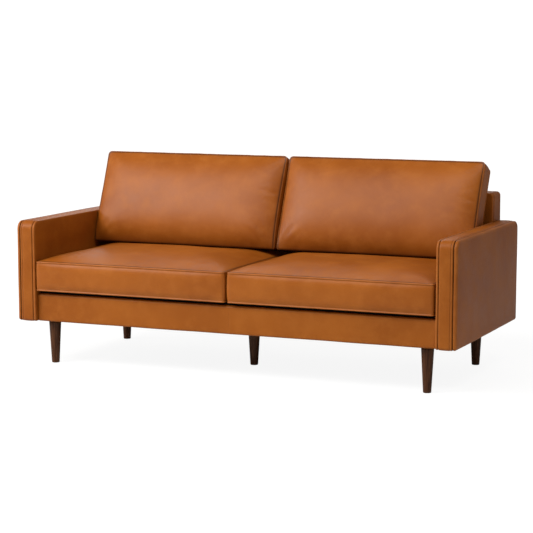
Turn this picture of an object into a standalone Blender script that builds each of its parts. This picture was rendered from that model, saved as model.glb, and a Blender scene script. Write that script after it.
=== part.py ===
"""Two-seat leather sofa with slim arms, loose cushions and turned wooden legs.

Metres, +Z up. X runs along the sofa, the seat faces -Y, and the origin is on the floor under the
middle of the sofa. Every sub-part is its own object; the four loose cushions have their origins on the
lines that they slide along.
"""

import math

import bmesh
import bpy
from mathutils import Vector

# Driving dimensions
WIDTH = 1.850
DEPTH = 0.820
BASE_Z = 0.175           # underside of the upholstery
ARM_TOP_Z = 0.582
ARM_INNER_X = 0.846      # face of the arm that looks at the cushions
BACK_TOP_Z = 0.697
BACK_HALF_X = 0.853
BACK_FRONT_Y = 0.300     # front face of the back frame
RAIL_TOP_Z = 0.283
RAIL_FRONT_Y = -0.388
RAIL_HALF_X = 0.845
SEAT_CUSHION_FRONT_Y = -0.407
SEAT_CUSHION_BOTTOM_Z = 0.2995
SEAT_CUSHION_TOP_Z = 0.450
BACK_CUSHION_FOOT_Y = 0.067
BACK_CUSHION_TOP_Z = 0.822
BACK_CUSHION_LEAN = math.radians(23.0)
BACK_CUSHION_THICK = 0.100
CUSHION_WIDTH = 0.834
CUSHION_CENTRE_X = 0.4235
CUSHION_DRIFT_X = -0.0025   # the loose cushions sit a little to one side
LEG_X = 0.796
LEG_FRONT_Y = -0.340
LEG_REAR_Y = 0.285
LEG_CENTRE_Y = -0.135
LEG_TOP_RADIUS = 0.0250
LEG_FOOT_RADIUS = 0.0155
LEG_CENTRE_GAP = 0.013      # the centre leg stays clear of the floor until the rail sags

# Thicknesses and radii
GAP = 0.0004                # between touching pieces
OUTER_PAD = 0.013           # padded outer panels of the arms
INNER_PAD = 0.011
BAND = 0.012                # strips that wrap the edges of the arms and the back
BACK_PAD = 0.014
TOP_RADIUS = 0.034             # top corners of the arms
BACK_CORNER_RADIUS = 0.016     # top corners of the back frame
FOOT_RADIUS = 0.012
EDGE_ROLL = 0.004           # small roll on padded edges
RAIL_COVER = 0.008          # over the top of the rail
RAIL_PADDING = 0.016        # in front of the rail
COVER_RETURN = 0.028        # how far the rail cover laps over the top of the rail
DECK_SETBACK = 0.020        # the deck cloth, behind the front of the rail cover
PLATE = 0.003
PLATE_SIDE = 0.056
DUST_COVER = 0.0014
DECK = 0.0145
TIMBER_EDGE = 0.0015
POST = 0.060
RAIL_TIMBER = 0.028
SIDE_TIMBER = 0.026
BLOCK_SIDE = 0.062
BLOCK_HEIGHT = 0.070
WIRE_RADIUS = 0.00175
SPRING_WIDTH = 0.050
SPRING_BENDS = 8
SPRING_RISE = 0.004
SPRING_SEAT = 0.010          # how far each end of a spring reaches over its rail
ARC_STEPS = 6

# Derived levels and planes
HALF_X = WIDTH / 2
HALF_Y = DEPTH / 2
LEG_TOP_Z = BASE_Z + 0.0011
PLATE_Z = LEG_TOP_Z + GAP
DUST_Z = PLATE_Z + PLATE + GAP
TIMBER_Z = DUST_Z + DUST_COVER + GAP
TIMBER_TOP_Z = RAIL_TOP_Z - RAIL_COVER
ARM_TIMBER_X = (ARM_INNER_X + INNER_PAD + 0.002, HALF_X - OUTER_PAD - GAP)
ARM_TIMBER_Z = BASE_Z + 0.003
SEAT_BOX_REAR_Y = BACK_FRONT_Y - 0.002
RAIL_BACK_Y = RAIL_FRONT_Y + RAIL_PADDING + GAP + RAIL_TIMBER
REAR_RAIL_Y = SEAT_BOX_REAR_Y - RAIL_TIMBER
SIDE_RAIL_X = RAIL_HALF_X - SIDE_TIMBER
SPRING_Z = TIMBER_TOP_Z + WIRE_RADIUS + GAP
DECK_Z = RAIL_TOP_Z + 0.0012
SPRING_XS = [side * x for x in (0.14, 0.42, 0.70) for side in (-1, 1)]

# Finishes: colour, roughness, metallic
FINISHES = {
    "leather": ((0.44, 0.14, 0.045), 0.45, 0.0),
    "timber": ((0.55, 0.38, 0.22), 0.70, 0.0),
    "walnut": ((0.075, 0.032, 0.017), 0.35, 0.0),
    "black_cloth": ((0.015, 0.014, 0.013), 0.90, 0.0),
    "steel": ((0.45, 0.45, 0.46), 0.40, 1.0),
}


def clear_scene():
    for obj in list(bpy.data.objects):
        bpy.data.objects.remove(obj, do_unlink=True)


def finish(name):
    """The Principled material of one finish, made the first time that it is asked for."""
    material = bpy.data.materials.get(name)
    if material is None:
        colour, roughness, metallic = FINISHES[name]
        material = bpy.data.materials.new(name)
        material.use_nodes = True
        shader = material.node_tree.nodes["Principled BSDF"]
        shader.inputs["Base Color"].default_value = (*colour, 1.0)
        shader.inputs["Roughness"].default_value = roughness
        shader.inputs["Metallic"].default_value = metallic
    return material


def add_object(name, mesh_builder, finish_name, location=(0, 0, 0)):
    """An object whose closed mesh faces outwards, with its material."""
    bmesh.ops.recalc_face_normals(mesh_builder, faces=mesh_builder.faces)
    mesh = bpy.data.meshes.new(name)
    mesh_builder.to_mesh(mesh)
    mesh_builder.free()
    obj = bpy.data.objects.new(name, mesh)
    obj.location = location
    obj.data.materials.append(finish(finish_name))
    bpy.context.scene.collection.objects.link(obj)
    return obj


def bevel(obj, width, segments=2):
    modifier = obj.modifiers.new("roll", "BEVEL")
    modifier.width = width
    modifier.segments = segments
    modifier.limit_method = "ANGLE"
    modifier.angle_limit = math.radians(50)
    return obj


def smooth(obj, angle=35.0):
    obj.data.shade_smooth()
    obj.data.set_sharp_from_angle(angle=math.radians(angle))
    return obj


def box(name, low, high, finish_name, edge=0.0, segments=1):
    """A block between two corners, with its edges broken by a bevel."""
    builder = bmesh.new()
    bmesh.ops.create_cube(builder, size=1.0)
    size = Vector(high) - Vector(low)
    centre = (Vector(high) + Vector(low)) / 2
    bmesh.ops.scale(builder, vec=size, verts=builder.verts)
    obj = add_object(name, builder, finish_name, centre)
    if edge:
        bevel(obj, edge, segments)
    return obj


def rounded_outline(corners):
    """The outline through (a, b, radius) corners, each corner replaced by an arc where it has a radius."""
    points = []
    for index, (a, b, radius) in enumerate(corners):
        corner = Vector((a, b))
        if radius == 0.0:
            points.append(corner)
            continue
        before = (Vector(corners[index - 1][:2]) - corner).normalized()
        after = (Vector(corners[(index + 1) % len(corners)][:2]) - corner).normalized()
        half_angle = before.angle(after) / 2
        centre = corner + (before + after).normalized() * radius / math.sin(half_angle)
        start = corner + before * radius / math.tan(half_angle) - centre
        turn = math.pi - 2 * half_angle
        if before.x * after.y - before.y * after.x > 0:
            turn = -turn
        for step in range(ARC_STEPS + 1):
            angle = turn * step / ARC_STEPS
            cosine, sine = math.cos(angle), math.sin(angle)
            points.append(centre + Vector((start.x * cosine - start.y * sine, start.x * sine + start.y * cosine)))
    return points


def prism(name, outline, low, high, place, finish_name, location=(0, 0, 0)):
    """A closed prism: place(point, level) puts each outline point in space at both of its levels."""
    builder = bmesh.new()
    ends = [[builder.verts.new(place(point, level)) for point in outline] for level in (low, high)]
    builder.faces.new(ends[0])
    builder.faces.new(ends[1])
    count = len(outline)
    for index in range(count):
        following = (index + 1) % count
        builder.faces.new((ends[0][index], ends[0][following], ends[1][following], ends[1][index]))
    return add_object(name, builder, finish_name, location)


def side_prism(name, corners, x_range, finish_name):
    """A prism along X from an outline in Y and Z."""
    return prism(name, rounded_outline(corners), *x_range, lambda p, x: (x, p.x, p.y), finish_name)


def front_prism(name, corners, y_range, finish_name):
    """A prism along Y from an outline in X and Z."""
    return prism(name, rounded_outline(corners), *y_range, lambda p, y: (p.x, y, p.y), finish_name)


def plan_prism(name, corners, z_range, finish_name):
    """A prism along Z from an outline in X and Y."""
    return prism(name, rounded_outline(corners), *z_range, lambda p, z: (p.x, p.y, z), finish_name)


def mirrored(side, x_range):
    return sorted(side * x for x in x_range)


def end_strip(name, side_of_y, x_range, finish_name):
    """The strip that climbs one end of an arm and turns over its top corner."""
    outer = side_of_y * HALF_Y
    inner = side_of_y * (HALF_Y - BAND)
    turned = side_of_y * (HALF_Y - TOP_RADIUS - 0.006)
    corners = [
        (outer, BASE_Z, 0.006),
        (outer, ARM_TOP_Z, TOP_RADIUS),
        (turned, ARM_TOP_Z, 0.0),
        (turned, ARM_TOP_Z - BAND, 0.0),
        (inner, ARM_TOP_Z - BAND, TOP_RADIUS - BAND),
        (inner, BASE_Z, 0.0),
    ]
    return smooth(side_prism(name, corners, x_range, finish_name))


def build_arm(word, side):
    """One arm: a timber frame between two padded panels, with a strip round its edges."""
    outer = mirrored(side, (HALF_X - OUTER_PAD, HALF_X))
    corners = [
        (-HALF_Y, BASE_Z, FOOT_RADIUS),
        (-HALF_Y, ARM_TOP_Z, TOP_RADIUS),
        (HALF_Y, ARM_TOP_Z, TOP_RADIUS),
        (HALF_Y, BASE_Z, FOOT_RADIUS),
    ]
    panel = side_prism(f"arm_{word}_outer_panel", corners, outer, "leather")
    smooth(bevel(panel, EDGE_ROLL))

    inner = mirrored(side, (ARM_INNER_X, ARM_INNER_X + INNER_PAD))
    corners = [
        (-HALF_Y, BASE_Z, FOOT_RADIUS),
        (-HALF_Y, ARM_TOP_Z, TOP_RADIUS),
        (BACK_FRONT_Y - 0.001, ARM_TOP_Z, 0.0),
        (BACK_FRONT_Y - 0.001, BASE_Z, 0.0),
    ]
    panel = side_prism(f"arm_{word}_inner_panel", corners, inner, "leather")
    smooth(bevel(panel, EDGE_ROLL))

    strip = mirrored(side, (ARM_INNER_X + INNER_PAD + GAP, HALF_X - OUTER_PAD - GAP))
    end_strip(f"arm_{word}_front_strip", -1, strip, "leather")
    end_strip(f"arm_{word}_rear_strip", 1, strip, "leather")
    reach = HALF_Y - TOP_RADIUS - 0.006 - GAP
    box(
        f"arm_{word}_top_strip",
        (strip[0], -reach, ARM_TOP_Z - BAND),
        (strip[1], reach, ARM_TOP_Z),
        "leather",
    )

    timber = mirrored(side, ARM_TIMBER_X)
    timber_top = ARM_TOP_Z - BAND - GAP
    post_y = HALF_Y - BAND - GAP
    for end, toward in (("front", -1), ("rear", 1)):
        corners = [
            (toward * post_y, ARM_TIMBER_Z, 0.0),
            (toward * post_y, timber_top, TOP_RADIUS - BAND),
            (toward * (post_y - POST), timber_top, 0.0),
            (toward * (post_y - POST), ARM_TIMBER_Z, 0.0),
        ]
        side_prism(f"arm_{word}_{end}_post", corners, timber, "timber")
    run = post_y - POST - GAP
    for level, low_z, high_z in (
        ("top", timber_top - 0.045, timber_top),
        ("bottom", ARM_TIMBER_Z, ARM_TIMBER_Z + 0.070),
    ):
        box(
            f"arm_{word}_{level}_rail",
            (timber[0], -run, low_z),
            (timber[1], run, high_z),
            "timber",
            TIMBER_EDGE,
        )


def build_front_rail():
    """The front timber, and the leather that covers its face and laps over its top."""
    corners = [
        (RAIL_FRONT_Y, BASE_Z, 0.006),
        (RAIL_FRONT_Y, RAIL_TOP_Z, 0.010),
        (RAIL_FRONT_Y + COVER_RETURN, RAIL_TOP_Z, 0.0),
        (RAIL_FRONT_Y + COVER_RETURN, RAIL_TOP_Z - RAIL_COVER + GAP, 0.0),
        (RAIL_FRONT_Y + RAIL_PADDING, RAIL_TOP_Z - RAIL_COVER + GAP, 0.0),
        (RAIL_FRONT_Y + RAIL_PADDING, BASE_Z, 0.0),
    ]
    smooth(side_prism("front_rail_cover", corners, (-RAIL_HALF_X, RAIL_HALF_X), "leather"))
    box(
        "front_rail",
        (-RAIL_HALF_X, RAIL_BACK_Y - RAIL_TIMBER, TIMBER_Z),
        (RAIL_HALF_X, RAIL_BACK_Y, TIMBER_TOP_Z),
        "timber",
        TIMBER_EDGE,
    )


def build_seat_box():
    """Side, rear and centre rails, with a block in each corner to take a leg."""
    box(
        "rear_rail",
        (-RAIL_HALF_X, REAR_RAIL_Y, TIMBER_Z),
        (RAIL_HALF_X, SEAT_BOX_REAR_Y, TIMBER_TOP_Z),
        "timber",
        TIMBER_EDGE,
    )
    for word, side in (("left", -1), ("right", 1)):
        side_x = mirrored(side, (SIDE_RAIL_X, RAIL_HALF_X))
        box(
            f"side_rail_{word}",
            (side_x[0], RAIL_BACK_Y + GAP, TIMBER_Z),
            (side_x[1], REAR_RAIL_Y - GAP, TIMBER_TOP_Z),
            "timber",
            TIMBER_EDGE,
        )
        for end, wall, inward in (("front", RAIL_BACK_Y + GAP, 1), ("rear", REAR_RAIL_Y - GAP, -1)):
            x = side * (SIDE_RAIL_X - GAP)
            corners = [
                (x, wall, 0.0),
                (x - side * BLOCK_SIDE, wall, 0.0),
                (x - side * BLOCK_SIDE, wall + inward * BLOCK_SIDE / 3, 0.0),
                (x - side * BLOCK_SIDE / 3, wall + inward * BLOCK_SIDE, 0.0),
                (x, wall + inward * BLOCK_SIDE, 0.0),
            ]
            plan_prism(
                f"corner_block_{end}_{word}",
                corners,
                (TIMBER_Z, TIMBER_Z + BLOCK_HEIGHT),
                "timber",
            )
    half_centre = RAIL_TIMBER
    box(
        "centre_rail",
        (-half_centre, RAIL_BACK_Y + GAP, TIMBER_Z),
        (half_centre, REAR_RAIL_Y - GAP, TIMBER_TOP_Z - 0.020),
        "timber",
        TIMBER_EDGE,
    )


def spring_path(x):
    """Points along a zigzag spring: half circles joined by straight wires, crowned a little."""
    start = RAIL_BACK_Y - SPRING_SEAT
    end = REAR_RAIL_Y + SPRING_SEAT
    pitch = (end - start) / SPRING_BENDS
    radius = pitch / 2
    reach = SPRING_WIDTH / 2 - radius
    points = [(x, start)]
    for bend in range(SPRING_BENDS):
        side = 1 if bend % 2 else -1
        centre_y = start + pitch * bend + radius
        for step in range(5):
            angle = math.pi * step / 4
            points.append((x + side * (reach + radius * math.sin(angle)), centre_y - radius * math.cos(angle)))
    points.append((x, end))
    half = (end - start) / 2
    middle = (start + end) / 2
    return [(px, py, SPRING_Z + SPRING_RISE * (1 - ((py - middle) / half) ** 2)) for px, py in points]


def build_springs():
    for number, x in enumerate(sorted(SPRING_XS), start=1):
        curve = bpy.data.curves.new(f"seat_spring_{number}", "CURVE")
        curve.dimensions = "3D"
        curve.bevel_depth = WIRE_RADIUS
        curve.bevel_resolution = 1
        curve.use_fill_caps = True
        path = spring_path(x)
        spline = curve.splines.new("POLY")
        spline.points.add(len(path) - 1)
        for point, place in zip(spline.points, path):
            point.co = (*place, 1.0)
        obj = bpy.data.objects.new(f"seat_spring_{number}", curve)
        curve.materials.append(finish("steel"))
        bpy.context.scene.collection.objects.link(obj)


def build_cloths():
    """The deck that the seat cushions lie on, and the dust cover under the seat box."""
    box(
        "seat_deck",
        (-RAIL_HALF_X, RAIL_FRONT_Y + DECK_SETBACK, DECK_Z),
        (RAIL_HALF_X, SEAT_BOX_REAR_Y, DECK_Z + DECK),
        "black_cloth",
        0.003,
    )
    box(
        "dust_cover",
        (-RAIL_HALF_X, RAIL_FRONT_Y + RAIL_PADDING + GAP, DUST_Z),
        (RAIL_HALF_X, SEAT_BOX_REAR_Y, DUST_Z + DUST_COVER),
        "black_cloth",
    )


def build_back_frame():
    """The upright back: timber between two padded panels, with a strip over its top and ends."""
    corners = [
        (-BACK_HALF_X, BASE_Z, FOOT_RADIUS),
        (-BACK_HALF_X, BACK_TOP_Z, BACK_CORNER_RADIUS),
        (BACK_HALF_X, BACK_TOP_Z, BACK_CORNER_RADIUS),
        (BACK_HALF_X, BASE_Z, FOOT_RADIUS),
    ]
    panel = front_prism("back_outer_panel", corners, (HALF_Y - BACK_PAD, HALF_Y), "leather")
    smooth(bevel(panel, EDGE_ROLL))
    deck_top = DECK_Z + DECK
    corners = [
        (-BACK_HALF_X, deck_top, 0.0),
        (-BACK_HALF_X, BACK_TOP_Z, BACK_CORNER_RADIUS),
        (BACK_HALF_X, BACK_TOP_Z, BACK_CORNER_RADIUS),
        (BACK_HALF_X, deck_top, 0.0),
    ]
    panel = front_prism("back_inner_panel", corners, (BACK_FRONT_Y, BACK_FRONT_Y + BACK_PAD), "leather")
    smooth(bevel(panel, EDGE_ROLL))

    core_y = (BACK_FRONT_Y + BACK_PAD + GAP, HALF_Y - BACK_PAD - GAP)
    turned = BACK_HALF_X - BACK_CORNER_RADIUS - 0.006
    for word, side in (("left", -1), ("right", 1)):
        corners = [
            (side * BACK_HALF_X, BASE_Z, 0.0),
            (side * BACK_HALF_X, BACK_TOP_Z, BACK_CORNER_RADIUS),
            (side * turned, BACK_TOP_Z, 0.0),
            (side * turned, BACK_TOP_Z - BAND, 0.0),
            (side * (BACK_HALF_X - BAND), BACK_TOP_Z - BAND, BACK_CORNER_RADIUS - BAND),
            (side * (BACK_HALF_X - BAND), BASE_Z, 0.0),
        ]
        smooth(front_prism(f"back_{word}_strip", corners, core_y, "leather"))
    box(
        "back_top_strip",
        (GAP - turned, core_y[0], BACK_TOP_Z - BAND),
        (turned - GAP, core_y[1], BACK_TOP_Z),
        "leather",
    )

    timber_top = BACK_TOP_Z - BAND - GAP
    post_x = BACK_HALF_X - BAND - GAP
    for word, side in (("left", -1), ("right", 1)):
        corners = [
            (side * post_x, TIMBER_Z, 0.0),
            (side * post_x, timber_top, BACK_CORNER_RADIUS - BAND),
            (side * (post_x - POST), timber_top, 0.0),
            (side * (post_x - POST), TIMBER_Z, 0.0),
        ]
        front_prism(f"back_{word}_post", corners, core_y, "timber")
    run = post_x - POST - GAP
    top_rail_z = timber_top - 0.050
    bottom_rail_z = deck_top + 0.045
    box("back_top_rail", (-run, core_y[0], top_rail_z), (run, core_y[1], timber_top), "timber", TIMBER_EDGE)
    box("back_bottom_rail", (-run, core_y[0], TIMBER_Z), (run, core_y[1], bottom_rail_z), "timber", TIMBER_EDGE)
    box(
        "back_centre_post",
        (-RAIL_TIMBER, core_y[0], bottom_rail_z + GAP),
        (RAIL_TIMBER, core_y[1], top_rail_z - GAP),
        "timber",
        TIMBER_EDGE,
    )


def bulged(start, end, bulge, steps=4):
    """Points from start to end along a shallow arc that swells by bulge to the left of the way."""
    way = end - start
    left = Vector((-way.y, way.x)).normalized()
    return [start + way * t + left * bulge * 4 * t * (1 - t) for t in (step / steps for step in range(steps + 1))]


def build_seat_cushion(word, centre_x):
    """A boxed seat cushion; its origin lies on its rear lower edge, the line that it slides along."""
    depth = BACK_FRONT_Y - 0.004 - SEAT_CUSHION_FRONT_Y
    outline = [
        (-depth, 0.0, 0.012),
        (-depth, SEAT_CUSHION_TOP_Z - SEAT_CUSHION_BOTTOM_Z, 0.034),
        (0.0, SEAT_CUSHION_TOP_Z - SEAT_CUSHION_BOTTOM_Z, 0.034),
        (0.0, 0.0, 0.012),
    ]
    cushion = side_prism(
        f"seat_cushion_{word}",
        outline,
        (-CUSHION_WIDTH / 2, CUSHION_WIDTH / 2),
        "leather",
    )
    cushion.location = (centre_x, SEAT_CUSHION_FRONT_Y + depth, SEAT_CUSHION_BOTTOM_Z)
    return smooth(bevel(cushion, 0.012), 40)


def build_back_cushion(word, centre_x):
    """A boxed back cushion that leans back; its origin is at the foot of its front face."""
    foot_z = SEAT_CUSHION_TOP_Z + 0.0015
    slope = math.tan(BACK_CUSHION_LEAN)
    height = BACK_CUSHION_TOP_Z - foot_z
    across = BACK_CUSHION_THICK / math.cos(BACK_CUSHION_LEAN)
    front_foot = Vector((0.0, 0.0))
    front_top = Vector((height * slope, height))
    rear_top = front_top + Vector((math.cos(BACK_CUSHION_LEAN), -math.sin(BACK_CUSHION_LEAN))) * BACK_CUSHION_THICK
    rear_foot = Vector((across, 0.0))
    outline = bulged(front_foot, front_top, 0.018) + bulged(rear_top, rear_foot, 0.014)
    cushion = prism(
        f"back_cushion_{word}",
        outline,
        -CUSHION_WIDTH / 2,
        CUSHION_WIDTH / 2,
        lambda p, x: (x, p.x, p.y),
        "leather",
        (centre_x, BACK_CUSHION_FOOT_Y, foot_z),
    )
    return smooth(bevel(cushion, 0.010), 40)


def build_leg(name, place, foot_z):
    """A round leg tapering to its foot, turned about its own axis, on a steel plate."""
    profile = [
        (0.0, LEG_TOP_Z),
        (LEG_TOP_RADIUS - 0.0015, LEG_TOP_Z),
        (LEG_TOP_RADIUS, LEG_TOP_Z - 0.0015),
        (LEG_FOOT_RADIUS + 0.0002, foot_z + 0.004),
        (LEG_FOOT_RADIUS - 0.0010, foot_z + 0.0012),
        (LEG_FOOT_RADIUS - 0.0035, foot_z),
        (0.0, foot_z),
    ]
    mesh = bpy.data.meshes.new(name)
    edges = [(index, index + 1) for index in range(len(profile) - 1)]
    mesh.from_pydata([(radius, 0.0, z) for radius, z in profile], edges, [])
    leg = bpy.data.objects.new(name, mesh)
    leg.location = (*place, 0.0)
    mesh.materials.append(finish("walnut"))
    bpy.context.scene.collection.objects.link(leg)
    turning = leg.modifiers.new("turning", "SCREW")
    turning.steps = turning.render_steps = 20
    turning.use_merge_vertices = True
    turning.merge_threshold = 0.00005
    turning.use_smooth_shade = True
    half = PLATE_SIDE / 2
    box(
        name.replace("leg", "leg_plate"),
        (place[0] - half, place[1] - half, PLATE_Z),
        (place[0] + half, place[1] + half, PLATE_Z + PLATE),
        "steel",
    )


def build_legs():
    for word, side in (("left", -1), ("right", 1)):
        build_leg(f"leg_front_{word}", (side * LEG_X, LEG_FRONT_Y), 0.0)
        build_leg(f"leg_rear_{word}", (side * LEG_X, LEG_REAR_Y), 0.0)
    build_leg("leg_centre", (0.0, LEG_CENTRE_Y), LEG_CENTRE_GAP)


def main():
    clear_scene()
    for word, side in (("left", -1), ("right", 1)):
        build_arm(word, side)
        centre_x = side * CUSHION_CENTRE_X + CUSHION_DRIFT_X
        build_seat_cushion(word, centre_x)
        build_back_cushion(word, centre_x)
    build_front_rail()
    build_seat_box()
    build_springs()
    build_cloths()
    build_back_frame()
    build_legs()


main()
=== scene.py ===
"""Two-seat leather sofa with slim arms, loose cushions and turned walnut legs: its visual model.

Metres, +Z up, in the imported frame: X runs along the sofa, the seat faces -Y and the floor is z = 0.
Every upholstered part is a closed form of its own that stands for its solids in the frame.
"""

import sys

import logging
import math
from collections.abc import Callable, Sequence
from dataclasses import dataclass, field, replace
from enum import Enum
from typing import Any

import bmesh
import bpy
import numpy as np
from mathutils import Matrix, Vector, noise


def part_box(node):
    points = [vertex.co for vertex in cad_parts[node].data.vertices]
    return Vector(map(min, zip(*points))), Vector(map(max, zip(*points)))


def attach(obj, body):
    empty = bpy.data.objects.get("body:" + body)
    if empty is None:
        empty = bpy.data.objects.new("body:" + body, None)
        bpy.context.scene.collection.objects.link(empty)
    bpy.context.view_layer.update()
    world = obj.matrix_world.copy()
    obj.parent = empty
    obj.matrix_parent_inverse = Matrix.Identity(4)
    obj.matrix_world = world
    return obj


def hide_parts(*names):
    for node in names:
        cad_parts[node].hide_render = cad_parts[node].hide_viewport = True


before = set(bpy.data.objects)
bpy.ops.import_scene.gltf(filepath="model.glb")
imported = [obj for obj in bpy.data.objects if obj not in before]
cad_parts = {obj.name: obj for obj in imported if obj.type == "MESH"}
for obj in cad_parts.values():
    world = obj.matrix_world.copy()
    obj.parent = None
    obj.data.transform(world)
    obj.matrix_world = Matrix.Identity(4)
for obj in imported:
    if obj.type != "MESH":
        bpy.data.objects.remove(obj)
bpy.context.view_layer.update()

Point = tuple[float, float, float]
Colour = tuple[float, float, float]
Array = np.ndarray
Place = Callable[[Array, Array, Array], Array]
Rise = Callable[[Array, Array, Array], Array]
Give = Callable[[Array, Array, Array, Array], Array]

FRAME_BODY = "frame"
FRAME_FILL = 0.9
BASE_Z = 0.175
ARM_TOP_Z = 0.582
BACK_TOP_Z = 0.697
TOP_RADIUS = 0.034
BACK_CORNER_RADIUS = 0.016
FOOT_RADIUS = 0.012
ARM_MIDDLE_Z = (BASE_Z + ARM_TOP_Z) / 2.0
SEAM_WIDTH = 0.0022
STITCH_WIDTH = 0.002
WELT_DEPTH = 0.008

SOFA_MIDDLE: Point = (0.0, -0.1, 0.45)
NEUTRAL: Colour = (1.0, 1.0, 1.0)
WARM_WHITE: Colour = (1.0, 0.985, 0.955)
AMBER: Colour = (1.0, 0.95, 0.86)

log = logging.getLogger("sofa")


class Slot(Enum):
    """The record's material slots."""

    FRAME_LEATHER = "frame_leather"
    CUSHION_LEATHER = "cushion_leather"
    TIMBER = "frame_timber"
    WALNUT = "leg_walnut"
    BLACK_CLOTH = "black_cloth"
    STEEL = "steel"


class Side(Enum):
    """The sofa's two ends, with the sign of their X."""

    LEFT = -1
    RIGHT = 1

    @property
    def word(self) -> str:
        """The side's name as the frame spells it."""
        return self.name.lower()


class Region(Enum):
    """The parts of a padded form."""

    FACE = 0
    RIM = 1
    BACK = 2


# ---------------------------------------------------------------------------------------------- finishes


class ShaderTree:
    """Builds one node material: each method adds a node and returns the socket to read from."""

    def __init__(self, name: str) -> None:
        """Starts a material that holds one Principled shader.

        Args:
            name: The material's name.
        """
        self.material = bpy.data.materials.new(name)
        self.material.use_nodes = True
        self.nodes = self.material.node_tree.nodes
        self.links = self.material.node_tree.links
        self.shader = self.nodes["Principled BSDF"]

    def node(self, kind: str, **settings: Any) -> bpy.types.Node:
        """Adds a node.

        Args:
            kind: The node's type.
            **settings: Its properties.

        Returns:
            The new node.
        """
        made = self.nodes.new(kind)
        for name, value in settings.items():
            setattr(made, name, value)
        return made

    def feed(self, value: Any, target: bpy.types.NodeSocket) -> None:
        """Links a socket to a target, or sets the target to a plain value.

        Args:
            value: A socket, a number or a colour.
            target: The input to feed.
        """
        if isinstance(value, bpy.types.NodeSocket):
            self.links.new(value, target)
        elif isinstance(value, tuple) and target.type == "RGBA":
            target.default_value = (*value, 1.0)
        else:
            target.default_value = value

    def set(self, **values: Any) -> None:
        """Sets or links the shader's own sockets.

        Args:
            **values: Socket names with _ for each space, and what feeds them.
        """
        for name, value in values.items():
            self.feed(value, self.shader.inputs[name.replace("_", " ")])

    def place(self, stretch: Point = (1.0, 1.0, 1.0)) -> bpy.types.NodeSocket:
        """Coordinates in the piece's own metres.

        Args:
            stretch: A scale for each axis.

        Returns:
            The vector socket.
        """
        source = self.node("ShaderNodeTexCoord")
        mapping = self.node("ShaderNodeMapping")
        mapping.inputs["Scale"].default_value = stretch
        self.links.new(source.outputs["Object"], mapping.inputs["Vector"])
        return mapping.outputs["Vector"]

    def noise(self, place: bpy.types.NodeSocket, scale: float, detail: float = 3.0,
              rough: float = 0.5, twist: float = 0.0) -> bpy.types.NodeSocket:
        """Cloudy noise from 0 to 1.

        Args:
            place: The coordinates.
            scale: Features per metre, roughly.
            detail: Octaves.
            rough: How strong the fine octaves are.
            twist: Distortion.

        Returns:
            The value socket.
        """
        made = self.node("ShaderNodeTexNoise")
        self.links.new(place, made.inputs["Vector"])
        made.inputs["Scale"].default_value = scale
        made.inputs["Detail"].default_value = detail
        made.inputs["Roughness"].default_value = rough
        made.inputs["Distortion"].default_value = twist
        return made.outputs[0]

    def cells(self, place: bpy.types.NodeSocket, scale: float) -> bpy.types.NodeSocket:
        """Distance to the border between pebble-like cells.

        Args:
            place: The coordinates.
            scale: Cells per metre.

        Returns:
            The value socket.
        """
        made = self.node("ShaderNodeTexVoronoi", feature="DISTANCE_TO_EDGE")
        self.links.new(place, made.inputs["Vector"])
        made.inputs["Scale"].default_value = scale
        return made.outputs["Distance"]

    def wave(self, place: bpy.types.NodeSocket, scale: float, axis: str,
             twist: float = 0.0) -> bpy.types.NodeSocket:
        """Parallel bands from 0 to 1.

        Args:
            place: The coordinates.
            scale: The texture's scale.
            axis: X, Y or Z.
            twist: Distortion.

        Returns:
            The value socket.
        """
        made = self.node("ShaderNodeTexWave", wave_type="BANDS", bands_direction=axis)
        self.links.new(place, made.inputs["Vector"])
        made.inputs["Scale"].default_value = scale
        made.inputs["Distortion"].default_value = twist
        made.inputs["Detail Scale"].default_value = 2.0
        return made.outputs[1]

    def spread(self, value: bpy.types.NodeSocket, low: float, high: float, start: float = 0.0,
               end: float = 1.0) -> bpy.types.NodeSocket:
        """Maps low...high to start...end and clamps it.

        Args:
            value: What is mapped.
            low: The value that gives start.
            high: The value that gives end.
            start: The result at low.
            end: The result at high.

        Returns:
            The value socket.
        """
        made = self.node("ShaderNodeMapRange")
        self.links.new(value, made.inputs[0])
        for index, number in enumerate((low, high, start, end), 1):
            made.inputs[index].default_value = number
        return made.outputs[0]

    def mark(self, name: str) -> bpy.types.NodeSocket:
        """Reads one of the marks that the mesh carries at its points."""
        return self.node("ShaderNodeAttribute", attribute_name=name).outputs["Fac"]

    def times(self, first: Any, second: Any) -> bpy.types.NodeSocket:
        """Multiplies two values."""
        made = self.node("ShaderNodeMath", operation="MULTIPLY")
        self.feed(first, made.inputs[0])
        self.feed(second, made.inputs[1])
        return made.outputs[0]

    def mix(self, share: Any, first: Any, second: Any) -> bpy.types.NodeSocket:
        """Mixes two colours.

        Args:
            share: How much of the second shows.
            first: A colour or socket.
            second: A colour or socket.

        Returns:
            The colour socket.
        """
        made = self.node("ShaderNodeMix", data_type="RGBA")
        for index, value in ((0, share), (6, first), (7, second)):
            self.feed(value, made.inputs[index])
        return made.outputs[2]

    def bump(self, *layers: tuple[bpy.types.NodeSocket, float, float]) -> None:
        """Stacks bumps and gives the result to the shader.

        Args:
            *layers: Height socket, depth in metres and strength of each.
        """
        normal = None
        for height, depth, strength in layers:
            made = self.node("ShaderNodeBump")
            made.inputs["Distance"].default_value = depth
            made.inputs["Strength"].default_value = strength
            self.links.new(height, made.inputs["Height"])
            if normal is not None:
                self.links.new(normal, made.inputs["Normal"])
            normal = made.outputs["Normal"]
        self.links.new(normal, self.shader.inputs["Normal"])


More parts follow.
